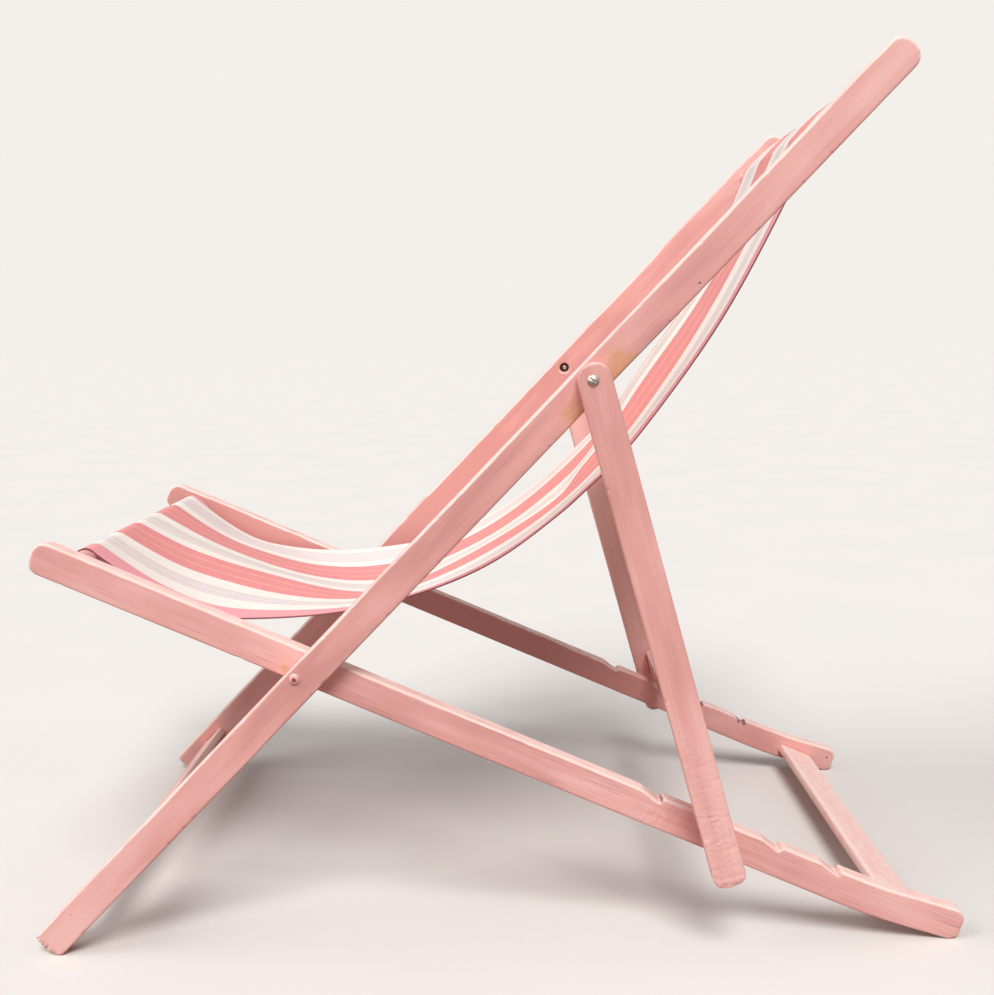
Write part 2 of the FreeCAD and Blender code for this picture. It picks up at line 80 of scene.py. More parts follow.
class Frame(Enum):
    """The three wooden frames, which are the chair's bodies."""

    BACK = "back_frame"
    SEAT = "seat_frame"
    PROP = "prop_frame"


class Slot(Enum):
    """The finishes that the chair's record names."""

    PAINT = "pink_paint"
    CANVAS = "striped_canvas"
    STEEL = "bolt_steel"
    PAINTED_STEEL = "painted_steel"


def linear(colour: str) -> tuple[float, float, float, float]:
    """Turn an sRGB hex colour into linear light.

    Args:
        colour: Six hex digits after a hash.

    Returns:
        Red, green, blue and an opacity of 1.
    """
    steps = [int(colour[i : i + 2], 16) / 255.0 for i in (1, 3, 5)]
    light = [s / 12.92 if s <= 0.04045 else ((s + 0.055) / 1.055) ** 2.4 for s in steps]
    return (light[0], light[1], light[2], 1.0)


def add_node(tree: bpy.types.NodeTree, kind: str, settings: dict, links: dict) -> bpy.types.Node:
    """Add one node with its settings and links.

    Args:
        tree: The material's node tree.
        kind: Blender's name of the node's type.
        settings: Values by property name, input name or input number.
        links: Output sockets by input name or number.

    Returns:
        The new node.
    """
    node = tree.nodes.new(kind)
    for key, value in settings.items():
        if isinstance(key, str) and key not in node.inputs:
            setattr(node, key, value)
        else:
            node.inputs[key].default_value = value
    for key, socket in links.items():
        tree.links.new(socket, node.inputs[key])
    return node


def fill_ramp(node: bpy.types.Node, stops: list[tuple[float, str]], kind: str) -> Socket:
    """Set the stops of a colour ramp.

    Args:
        node: The ramp's node.
        stops: Places from 0 to 1 in rising order, each with its sRGB hex colour.
        kind: Blender's name of the way between the stops.

    Returns:
        The ramp's colour.
    """
    elements = node.color_ramp.elements
    node.color_ramp.interpolation = kind
    while len(elements) > 1:
        elements.remove(elements[-1])
    elements[0].position = stops[0][0]
    elements[0].color = linear(stops[0][1])
    for place, colour in stops[1:]:
        elements.new(place).color = linear(colour)
    return node.outputs["Color"]


def held(marks: Pair, ends: Pair = (0.0, 1.0)) -> dict:
    """Settings that map values between two marks onto two ends, and hold them past these."""
    return dict(zip(("From Min", "From Max", "To Min", "To Max"), (*marks, *ends)))


def softly(marks: Pair, top: float = 1.0) -> dict:
    """Settings that ease values from 0 at the first mark to top at the second."""
    return held(marks, (0.0, top)) | {"interpolation_type": "SMOOTHSTEP"}


def bumps(relief: Pair) -> dict:
    """Settings of a relief: how much of it shows, and its depth in millimetres."""
    return {"Strength": relief[0], "Distance": relief[1] * MM}


def add_object(name: str, data: bpy.types.ID) -> bpy.types.Object:
    """Put a mesh, a light or a camera into the scene.

    Args:
        name: The object's name.
        data: What it shows.

    Returns:
        The object.
    """
    thing = bpy.data.objects.new(name, data)
    bpy.context.scene.collection.objects.link(thing)
    return thing


def soft_noise(points: np.ndarray, size: Triple, seed: int) -> np.ndarray:
    """Smooth random values over space.

    Args:
        points: Places, one row each.
        size: How far the values take to change along each axis, in the places' own unit.
        seed: Number that picks the pattern.

    Returns:
        One value from -1 to 1 for each place.
    """
    cell = points / np.array(size)
    base = np.floor(cell).astype(np.int64)
    part = cell - base
    part = part * part * (3.0 - 2.0 * part)
    total = np.zeros(len(points))
    for corner in itertools.product((0, 1), repeat=3):
        at = base + np.array(corner)
        mixed = (at @ HASH_AXES + seed * HASH_SEED) & HASH_MASK
        mixed = ((mixed ^ (mixed >> 13)) * HASH_MIX) & HASH_MASK
        value = ((mixed ^ (mixed >> 16)) & 0xFFFF) / 32767.5 - 1.0
        weight = np.prod(np.where(np.array(corner) == 1, part, 1.0 - part), axis=1)
        total += weight * value
    return total


def eased(values: np.ndarray, low: float, high: float) -> np.ndarray:
    """Ease values from 0 at a low mark to 1 at a high mark.

    Args:
        values: Any numbers.
        low: Mark at or below which the result is 0.
        high: Mark at or above which the result is 1.

    Returns:
        Numbers from 0 to 1, one for each value.
    """
    t = np.clip((values - low) / (high - low), 0.0, 1.0)
    return t * t * (3.0 - 2.0 * t)


def faded(values: np.ndarray, low: float, high: float) -> np.ndarray:
    """Ease values from 1 at a low mark to 0 at a high mark."""
    return eased(-values, -high, -low)


def natural_spline(marks: np.ndarray, values: np.ndarray, places: np.ndarray) -> np.ndarray:
    """Smooth curve through given values, with no bend at its two ends.

    Args:
        marks: Rising places of the given values.
        values: One value, or one row of values, for each mark.
        places: Where to read the curve. Past the ends it holds the end values.

    Returns:
        One value or row for each place.
    """
    gaps = np.diff(marks)
    rises = (np.diff(values, axis=0).T / gaps).T
    count = len(marks)
    system = np.eye(count)
    right = np.zeros((count,) + values.shape[1:])
    for i in range(1, count - 1):
        system[i, i - 1 : i + 2] = (gaps[i - 1], 2.0 * (gaps[i - 1] + gaps[i]), gaps[i])
        right[i] = 6.0 * (rises[i] - rises[i - 1])
    bends = np.linalg.solve(system, right)
    held = np.clip(places, marks[0], marks[-1])
    span = np.clip(np.searchsorted(marks, held, side="right") - 1, 0, count - 2)
    gap = gaps[span]
    low = ((marks[span + 1] - held) / gap).reshape((-1,) + (1,) * (values.ndim - 1))
    high = 1.0 - low
    square = (gap * gap / 6.0).reshape(low.shape)
    curve = low * values[span] + high * values[span + 1]
    return curve + square * ((low**3 - low) * bends[span] + (high**3 - high) * bends[span + 1])


def add_attribute(mesh: bpy.types.Mesh, name: str, values: np.ndarray) -> None:
    """Keep a number or a vector on each vertex for the finishes to read.

    Args:
        mesh: Mesh that gets the attribute.
        name: The attribute's name.
        values: One number or one row of three for each vertex.
    """
    if values.ndim == 2:
        layer = mesh.attributes.new(name, "FLOAT_VECTOR", "POINT")
        layer.data.foreach_set("vector", values.astype(np.float32).ravel())
    else:
        layer = mesh.attributes.new(name, "FLOAT", "POINT")
        layer.data.foreach_set("value", values.astype(np.float32))


@dataclass(frozen=True)
class Graph:
    """A material with its nodes and its shader."""

    material: bpy.types.Material
    tree: bpy.types.NodeTree
    shader: bpy.types.Node

    @staticmethod
    def start(name: str) -> "Graph":
        """Start a material with one principled shader.

        Args:
            name: The material's name.

        Returns:
            Its graph.
        """
        material = bpy.data.materials.new(name)
        material.use_nodes = True
        shader = next(n for n in material.node_tree.nodes if n.type == "BSDF_PRINCIPLED")
        return Graph(material, material.node_tree, shader)

    def add(self, kind: str, settings: dict, links: dict, output: int | str = 0) -> Socket:
        """Add one node and give one of its outputs."""
        return add_node(self.tree, kind, settings, links).outputs[output]

    def feed(self, name: str, value: Socket | float) -> None:
        """Give one of the shader's inputs its value."""
        if isinstance(value, Socket):
            self.tree.links.new(value, self.shader.inputs[name])
        else:
            self.shader.inputs[name].default_value = value

    def spots(self, place: Socket, size: Triple, detail: float = 3.0) -> Socket:
        """Spread soft spots of a real size over space.

        Args:
            place: Where to read them.
            size: Size of a spot along each axis, in millimetres.
            detail: Number of finer layers.

        Returns:
            Numbers about a half.
        """
        settings = TIMES | {1: tuple(1.0 / (length * MM) for length in size)}
        spread = self.add("ShaderNodeVectorMath", settings, {0: place})
        settings = {"Scale": 1.0, "Detail": detail}
        return self.add("ShaderNodeTexNoise", settings, {"Vector": spread}, "Fac")

    def total(self, *parts: tuple[Socket, float]) -> Socket:
        """Add up several values.

        Args:
            parts: Each value with its share.

        Returns:
            The sum.
        """
        links = {}
        for value, share in parts:
            settings = {"operation": "MULTIPLY_ADD", 1: share, 2: 0.0}
            links = {2: self.add("ShaderNodeMath", settings, links | {0: value})}
        return links[2]


@dataclass(frozen=True)
class PaintedWood:
    """Beech under old brushed alkyd paint.

    The paint is satin, faded in blotches and streaked along the rails by the brush. It is paler on
    worn arrises, gone in a few places down to yellow wood, and the open grain shows through it.
    Painted light and shade make the tone paler or darker along some pieces and paler on upward
    faces, and a painted highlight lies along upward arrises and faces.
    Sizes are millimetres, along and across. Marks are values between which a layer comes in, and
    relief is how much of the bumps shows and how deep they are.
    """

    name: str = "brushed_alkyd_paint_on_beech"
    deep: str = "#DC9D96"
    paint: str = "#EFB0A9"
    faded: str = "#FDC7BF"
    # Pale paint of worn arrises and grain ridges, also used for the painted highlight
    rubbed_and_highlit: str = "#FFE2D8"
    bare: str = "#E2B07F"
    bare_dark: str = "#D59C6C"
    # Colour of soiling, dark grain and cracks, and of the painted shade in recesses
    grime_and_shade: str = "#5C3A33"
    brush: Pair = (150.0, 1.8)
    blotches: Pair = (130.0, 30.0)
    grain: Pair = (60.0, 1.1)
    stains: Pair = (14.0, 7.0)
    crackle: Pair = (3.0, 8.0)
    tone_marks: Triple = (0.30, 0.5, 0.72)
    groove_marks: Pair = (0.44, 0.28)
    ridge_marks: Pair = (0.56, 0.70)
    rubbed_and_highlit_marks: Pair = (0.12, 0.6)
    crack_marks: Pair = (0.42, 0.32)
    dirt_and_shade_marks: Pair = (0.6, 0.9)
    bare_marks: Pair = (0.75, 1.55)
    blotch_share: float = 0.7
    light_and_shade_share: float = 0.2
    stain_grime: float = 0.6
    stain_bareness: float = 1.2
    cover: float = 0.85
    bare_cover: float = 0.75
    crack_cover: float = 0.14
    satin: Pair = (0.42, 0.6)
    bare_roughness: float = 0.2
    refraction: float = 1.5
    relief: Pair = (0.6, 0.25)
    groove_rise: float = -0.6
    brush_rise: float = 0.5
    crack_rise: float = -1.0
    bare_rise: float = -0.5

    def material(self) -> bpy.types.Material:
        """Build the finish from the vertex attributes that each worn piece carries."""
        graph = Graph.start(self.name)
        place = graph.add("ShaderNodeAttribute", {"attribute_name": "grain_place"}, {}, "Vector")
        worn = {
            name: graph.add("ShaderNodeAttribute", {"attribute_name": name}, {}, "Fac")
            for name in ("painted_light_and_shade", "streaked", "rubbed_and_highlit", "crackled", "dirt_and_shade", "bare")
        }

        def stretched(size: Pair, detail: float = 3.0) -> Socket:
            """Soft spots with one length along the piece and one width across it."""
            return graph.spots(place, (size[0], size[1], size[1]), detail)

        brush = stretched(self.brush)
        blotches = stretched(self.blotches, detail=2.0)
        grain = stretched(self.grain, detail=4.0)
        stains = stretched(self.stains)
        crackle = stretched(self.crackle)
        # Tone from random blotches and brush marks, plus the painted light and shade that each
        # piece carries; the ramp turns it into deep, mid and pale paint
        tone = graph.total(
            (blotches, self.blotch_share),
            (brush, 1.0 - self.blotch_share),
            (worn["painted_light_and_shade"], self.light_and_shade_share),
        )
        paints = list(zip(self.tone_marks, (self.deep, self.paint, self.faded)))
        ramp = add_node(graph.tree, "ShaderNodeValToRGB", {}, {"Fac": tone})
        colour = fill_ramp(ramp, paints, "LINEAR")

        # Open grain, dark in the grooves and pale on the ridges, and cracks
        grooves = graph.add("ShaderNodeMapRange", softly(self.groove_marks), {"Value": grain})
        ridges = graph.add("ShaderNodeMapRange", softly(self.ridge_marks), {"Value": grain})
        dark = graph.add("ShaderNodeMath", TIMES, {0: grooves, 1: worn["streaked"]})
        pale = graph.add("ShaderNodeMath", TIMES, {0: ridges, 1: worn["streaked"]})
        cracks = graph.add("ShaderNodeMapRange", softly(self.crack_marks), {"Value": crackle})
        cracks = graph.add("ShaderNodeMath", TIMES, {0: cracks, 1: worn["crackled"]})
        cracked = graph.add("ShaderNodeMath", TIMES | {1: self.crack_cover}, {0: cracks})

        # Worn arrises with a painted highlight, soiling with painted recess shade, and places where
        # the paint is gone
        settings = softly(self.rubbed_and_highlit_marks, self.cover)
        rubbed_and_highlit = graph.add("ShaderNodeMapRange", settings, {"Value": worn["rubbed_and_highlit"]})
        # Soiled spots and painted recess shade, with stains
        dark_spot_sum = graph.total((worn["dirt_and_shade"], 1.0), (stains, self.stain_grime))
        settings = softly(self.dirt_and_shade_marks, self.cover)
        dirt_and_shade = graph.add("ShaderNodeMapRange", settings, {"Value": dark_spot_sum})
        gone = graph.total((worn["bare"], 1.0), (stains, self.stain_bareness))
        settings = softly(self.bare_marks, self.bare_cover)
        gone = graph.add("ShaderNodeMapRange", settings, {"Value": gone})

        # Each coat over the last one, and the wood over all of them
        coats = (
            (self.grime_and_shade, dark),
            (self.rubbed_and_highlit, pale),
            (self.rubbed_and_highlit, rubbed_and_highlit),
            (self.grime_and_shade, cracked),
            (self.grime_and_shade, dirt_and_shade),
        )
        for coat, amount in coats:
            settings = {"data_type": "RGBA", 7: linear(coat)}
            colour = graph.add("ShaderNodeMix", settings, {0: amount, 6: colour}, 2)
        ramp = add_node(graph.tree, "ShaderNodeValToRGB", {}, {"Fac": grain})
        wood = fill_ramp(ramp, list(zip(NOISE_SPAN, (self.bare_dark, self.bare))), "LINEAR")
        links = {0: gone, 6: colour, 7: wood}
        graph.feed("Base Color", graph.add("ShaderNodeMix", {"data_type": "RGBA"}, links, 2))

        # Satin paint, duller where the tone is paler, painted light included, and where the paint
        # is gone
        dull = graph.add("ShaderNodeMapRange", held(NOISE_SPAN, self.satin), {"Value": tone})
        graph.feed("Roughness", graph.total((dull, 1.0), (gone, self.bare_roughness)))
        graph.feed("IOR", self.refraction)
        height = graph.total(
            (grooves, self.groove_rise),
            (brush, self.brush_rise),
            (cracks, self.crack_rise),
            (gone, self.bare_rise),
        )
        relief = graph.add("ShaderNodeBump", bumps(self.relief), {"Height": height}, "Normal")
        graph.feed("Normal", relief)
        return graph.material


@dataclass(frozen=True)
class Stripe:
    """One stripe of the canvas, from the edge of the last one."""

    width: float
    colour: str


@dataclass(frozen=True)
class StripedCanvas:
    """Plain-woven cotton duck with stripes of dyed warp.

    The cloth is matt and slightly fuzzy, and its threads show as a fine rib. The real thread
    spacing of about 0.6 mm is drawn at 1.1 mm, so that it shows.
    """

    name: str = "woven_cotton_duck"
    thread_spacing: float = 1.1
    slub_length: float = 30.0
    soil_size: float = 90.0
    white: str = "#FCF3EB"
    coral: str = "#EE9694"
    lilac: str = "#F2E5E2"
    grey: str = "#F0E5DF"
    pin: str = "#C8B6B6"
    peach: str = "#FBC5B0"
    edge: str = "#F5A7AD"
    # Dark colour of the left hem's turned-down edge: painted shade under the hem
    hem: str = "#98545A"
    # Tint of the painted pink bounce light
    pink_bounce_tint: str = "#FFF6F2"
    pin_width: float = 1.1
    line_width: float = 1.8
    ramps: int = 4
    thread_light: Pair = (0.96, 1.02)
    soil_light: Pair = (0.95, 1.0)
    soil_marks: Pair = (0.35, 0.65)
    roughness: float = 0.88
    fuzz: float = 0.05
    fuzz_roughness: float = 0.5
    relief: Pair = (0.5, 0.15)

    def pinned(self, width: float, colour: str, pins: tuple[float, ...]) -> list[Stripe]:
        """Cut a stripe into a ground with fine pin lines.

        Args:
            width: The whole stripe's width.
            colour: The ground's colour.
            pins: Where each pin line starts, from the stripe's left edge.

        Returns:
            Stripes of ground and pin in turn.
        """
        found = []
        done = 0.0
        for start in pins:
            found += [Stripe(start - done, colour), Stripe(self.pin_width, self.pin)]
            done = start + self.pin_width
        return [*found, Stripe(width - done, colour)]

    def lined(self, *widths: float) -> list[Stripe]:
        """Coral stripe with a peach line between each of the given widths of coral."""
        found = []
        for width in widths:
            found += [Stripe(width, self.coral), Stripe(self.line_width, self.peach)]
        return found[:-1]

    def stripes(self) -> list[Stripe]:
        """List the stripes from the left edge to the right edge."""
        return [
            # Painted shade along the turned-down left hem
            Stripe(3.5, self.hem),
            Stripe(27.5, self.edge),
            Stripe(25.0, self.white),
            *self.pinned(27.0, self.lilac, (1.5, 8.5, 17.0, 24.0)),
            Stripe(27.0, self.white),
            *self.lined(23.0, 23.4, 23.0),
            Stripe(24.0, self.white),
            *self.pinned(36.0, self.grey, (3.0, 12.0, 22.5, 31.5)),
            Stripe(25.0, self.white),
            *self.lined(26.0, 25.4, 26.0),
            Stripe(25.0, self.white),
            *self.pinned(46.0, self.lilac, (2.0, 15.0, 29.0, 42.0)),
            Stripe(20.0, self.white),
            Stripe(14.0, self.edge),
        ]

    def material(self, width: float) -> bpy.types.Material:
        """Build the finish from the vertex attribute cloth_place, which is across and along.

        Args:
            width: The canvas's full width, in millimetres.

        Returns:
            The material.
        """
        graph = Graph.start(self.name)
        place = graph.add("ShaderNodeAttribute", {"attribute_name": "cloth_place"}, {}, "Vector")
        painted_pink_bounce = graph.add("ShaderNodeAttribute", {"attribute_name": "painted_pink_bounce"}, {}, "Fac")
        split = add_node(graph.tree, "ShaderNodeSeparateXYZ", {}, {0: place})
        settings = {"operation": "DIVIDE", 1: width * MM}
        dyed = self.dyed(graph, graph.add("ShaderNodeMath", settings, {0: split.outputs["X"]}))
        # A pink tint over the back of the sling: painted pink bounce light
        settings = {"data_type": "RGBA", "blend_type": "MULTIPLY", 7: linear(self.pink_bounce_tint)}
        colour = graph.add("ShaderNodeMix", settings, {0: painted_pink_bounce, 6: dyed}, 2)

        # Warp threads run along the canvas and weft threads across it
        pitch = 2.0 * math.pi / (self.thread_spacing * MM)
        ribs = {}
        for number, axis in enumerate(("X", "Y")):
            turns = graph.add("ShaderNodeMath", TIMES | {1: pitch}, {0: split.outputs[axis]})
            ribs[number] = graph.add("ShaderNodeMath", {"operation": "SINE"}, {0: turns})
        weave = graph.add("ShaderNodeMath", TIMES, ribs)
        size = (self.thread_spacing, self.slub_length, self.slub_length)
        slubs = graph.spots(place, size, detail=2.0)
        soil = graph.spots(place, (self.soil_size,) * 3, detail=4.0)

        # Threads, slubs and soil each shade the dye
        shades = (
            (weave, held((-1.0, 1.0), self.thread_light)),
            (slubs, held(NOISE_SPAN, self.thread_light)),
            (soil, held(self.soil_marks, self.soil_light)),
        )
        for value, settings in shades:
            shade = graph.add("ShaderNodeMapRange", settings, {"Value": value})
            links = {0: colour, "Scale": shade}
            colour = graph.add("ShaderNodeVectorMath", {"operation": "SCALE"}, links)
        graph.feed("Base Color", colour)
        graph.feed("Roughness", self.roughness)
        graph.feed("Sheen Weight", self.fuzz)
        graph.feed("Sheen Roughness", self.fuzz_roughness)
        height = graph.total((weave, 1.0), (slubs, 1.0))
        relief = graph.add("ShaderNodeBump", bumps(self.relief), {"Height": height}, "Normal")
        graph.feed("Normal", relief)
        return graph.material

    def dyed(self, graph: Graph, across: Socket) -> Socket:
        """Colour the stripes, over several ramps because one is too coarse for the pin lines.

        Args:
            graph: The material's graph.
            across: Place across the canvas, from 0 to 1.

        Returns:
            The colour.
        """
        stripes = self.stripes()
        marks = [0.0, *itertools.accumulate(s.width for s in stripes)]
        spans = [(stripe.colour, begin / marks[-1]) for stripe, begin in zip(stripes, marks)]
        count = math.ceil(len(spans) / self.ramps)
        colour = None
        for first in range(0, len(spans), count):
            part = spans[first : first + count]
            low = part[0][1]
            high = spans[first + count][1] if first + count < len(spans) else 1.0
            local = graph.add("ShaderNodeMapRange", held((low, high)), {"Value": across})
            ramp = add_node(graph.tree, "ShaderNodeValToRGB", {}, {"Fac": local})
            stops = [((begin - low) / (high - low), dye) for dye, begin in part]
            links = {6: colour, 7: fill_ramp(ramp, stops, "CONSTANT")}
            if first:
                settings = {"operation": "GREATER_THAN", 1: low}
                links[0] = graph.add("ShaderNodeMath", settings, {0: across})
                colour = graph.add("ShaderNodeMix", {"data_type": "RGBA"}, links, 2)
            else:
                colour = links[7]
        return colour


@dataclass(frozen=True)
class Steel:
    """Bright mild steel, turned or stamped, with fine scratches and a little tarnish."""

    name: str = "turned_mild_steel"
    clean: str = "#D8D3CE"
    tarnish: str = "#A79A90"
    roughness: float = 0.3
    tarnish_roughness: float = 0.18
    tarnish_size: float = 3.0
    tarnish_marks: Pair = (0.38, 0.58)
    scratch_width: float = 0.25
    relief: Pair = (0.3, 0.05)

    def material(self) -> bpy.types.Material:
        """Build the finish over object space."""
        graph = Graph.start(self.name)
        place = graph.add("ShaderNodeTexCoord", {}, {}, "Object")
        spots = graph.spots(place, (self.tarnish_size,) * 3, detail=5.0)
        scratches = graph.spots(place, (self.scratch_width,) * 3, detail=2.0)
        colours = list(zip(self.tarnish_marks, (self.tarnish, self.clean)))
        ramp = add_node(graph.tree, "ShaderNodeValToRGB", {}, {"Fac": spots})
        graph.feed("Base Color", fill_ramp(ramp, colours, "LINEAR"))
        settings = held(NOISE_SPAN, (self.roughness + self.tarnish_roughness, self.roughness))
        rough = graph.add("ShaderNodeMapRange", settings, {"Value": spots})
        graph.feed("Roughness", rough)
        graph.feed("Metallic", 1.0)
        relief = graph.add("ShaderNodeBump", bumps(self.relief), {"Height": scratches}, "Normal")
        graph.feed("Normal", relief)
        return graph.material


def remeshed(node: str, axes: Matrix, grid: float) -> bpy.types.Mesh:
    """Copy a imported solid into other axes, on an even fine grid.

    Args:
        node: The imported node.
        axes: The axes, as a matrix that takes them to the chair's frame.
        grid: Size of the grid, in millimetres.

    Returns:
        The mesh, in the given axes.
    """
    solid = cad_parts[node].data.copy()
    solid.transform(axes.inverted())
    grown = bmesh.new()
    grown.from_mesh(solid)
    bmesh.ops.remove_doubles(grown, verts=grown.verts, dist=SAME_PLACE * MM)
    grown.to_mesh(solid)
    grown.free()
    holder = add_object("holder", solid)
    remesh = holder.modifiers.new("grid", "REMESH")
    remesh.mode = "VOXEL"
    remesh.voxel_size = grid * MM
    evaluated = holder.evaluated_get(bpy.context.evaluated_depsgraph_get())
    mesh = bpy.data.meshes.new_from_object(evaluated)
    bpy.data.objects.remove(holder)
    bpy.data.meshes.remove(solid)
    return mesh


@dataclass(frozen=True)
class MeshPoints:
    """A mesh's vertices in millimetres, with their normals and their edges' two ends."""

    points: np.ndarray
    normals: np.ndarray
    ends: np.ndarray
    others: np.ndarray

    @staticmethod
    def of(mesh: bpy.types.Mesh) -> "MeshPoints":
        """Read a mesh.

        Args:
            mesh: The mesh.

        Returns:
            Its points.
        """
        points = np.zeros(len(mesh.vertices) * 3)
        mesh.vertices.foreach_get("co", points)
        normals = np.zeros(len(mesh.vertices) * 3)
        mesh.vertices.foreach_get("normal", normals)
        pairs = np.zeros(len(mesh.edges) * 2, dtype=np.int32)
        mesh.edges.foreach_get("vertices", pairs)
        ends = np.concatenate((pairs[0::2], pairs[1::2]))
        others = np.concatenate((pairs[1::2], pairs[0::2]))
        return MeshPoints(points.reshape(-1, 3) / MM, normals.reshape(-1, 3), ends, others)

    def softened(self, passes: int) -> np.ndarray:
        """Move each point to its neighbours' middle a number of times.

        Args:
            passes: How many times.

        Returns:
            The moved points.
        """
        count = len(self.points)
        shares = np.bincount(self.ends, minlength=count)
        soft = self.points
        for _ in range(passes):
            moved = [np.bincount(self.ends, soft[self.others, k], count) / shares for k in range(3)]
            soft = np.stack(moved, axis=1)
        return soft


@dataclass(frozen=True)
class Patch:
    """Round spot on a wooden piece where something is worn or weathered, or where shade is painted.
    """

    along: float
    off: float
    radius: float
    strength: float = 1.0


@dataclass
class RemadePiece:
    """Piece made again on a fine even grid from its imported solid."""

    node: str
    body: Frame
    slot: Slot = field(default=Slot.PAINT, kw_only=True)

    def settle(self, mesh: bpy.types.Mesh, ending: str, finish: bpy.types.Material) -> None:
        """Dress the mesh and set it on its body in place of the solid.

        Args:
            mesh: The piece, in the chair's frame.
            ending: What the piece's name adds to the node's.
            finish: Its material.
        """
        mesh.shade_smooth()
        mesh.materials.clear()
        mesh.materials.append(finish)
        piece = add_object(f"{self.node}_{ending}", mesh)
        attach(piece, self.body.value)
        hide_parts(self.node)
        log.info("%s: %d vertices", piece.name, len(mesh.vertices))


@dataclass(frozen=True)
class Wear:
    """How wood and paint wear: sizes of the marks along, off and through a piece, and depths.

    A field that ends in _marks holds the noise or wear values between which something comes in.
    """

    long_waves: Triple = (90.0, 20.0, 20.0)
    long_rubs: Triple = (70.0, 9.0, 9.0)
    short_rubs: Triple = (12.0, 6.0, 6.0)
    chips: Triple = (8.0, 5.0, 5.0)
    dents: Triple = (7.0, 9.0, 9.0)
    splinters: Triple = (14.0, 1.9, 2.7)
    ripples: Triple = (6.5, 15.0, 11.0)
    nicks: Triple = (2.8, 5.5, 5.0)
    streaks: Triple = (160.0, 25.0, 25.0)
    wave_depth: float = 0.06
    dent_depth: float = 1.1
    ripple_depth: float = 0.45
    nick_depth: float = 0.6
    bare_depth: float = 0.25
    short_share: float = 0.6
    rub_marks: Pair = (-0.7, 1.0)
    chip_marks: Pair = (0.72, 0.86)
    streak_marks: Pair = (-1.0, 0.6)
    upper_marks: Pair = (0.45, 0.95)
    arris_marks: Pair = (-0.5, 0.5)
    spot_marks: Pair = (-0.8, 0.6)
    # Paler worn arrises, ends and upper faces; on upward arrises and faces this is partly a painted
    # highlight
    arris_rub_and_highlight: float = 0.35
    upper_highlight: float = 0.25
    end_rub: float = 0.2
    chip_bareness: float = 0.45
    end_crackle: float = 0.5
    # Painted light on upward faces
    upper_painted_light: float = 0.9
    dirt_and_shade_hiding: float = 2.0
    patch_core: float = 0.2
    ridge_height: float = 0.55
    ridge_passes: int = 7
    ridge_gain: float = 2.0
    least_rounding: float = 0.05
    end_rounding: float = 0.3
    most_rounding: float = 0.9
    seed_shift: float = 0.37


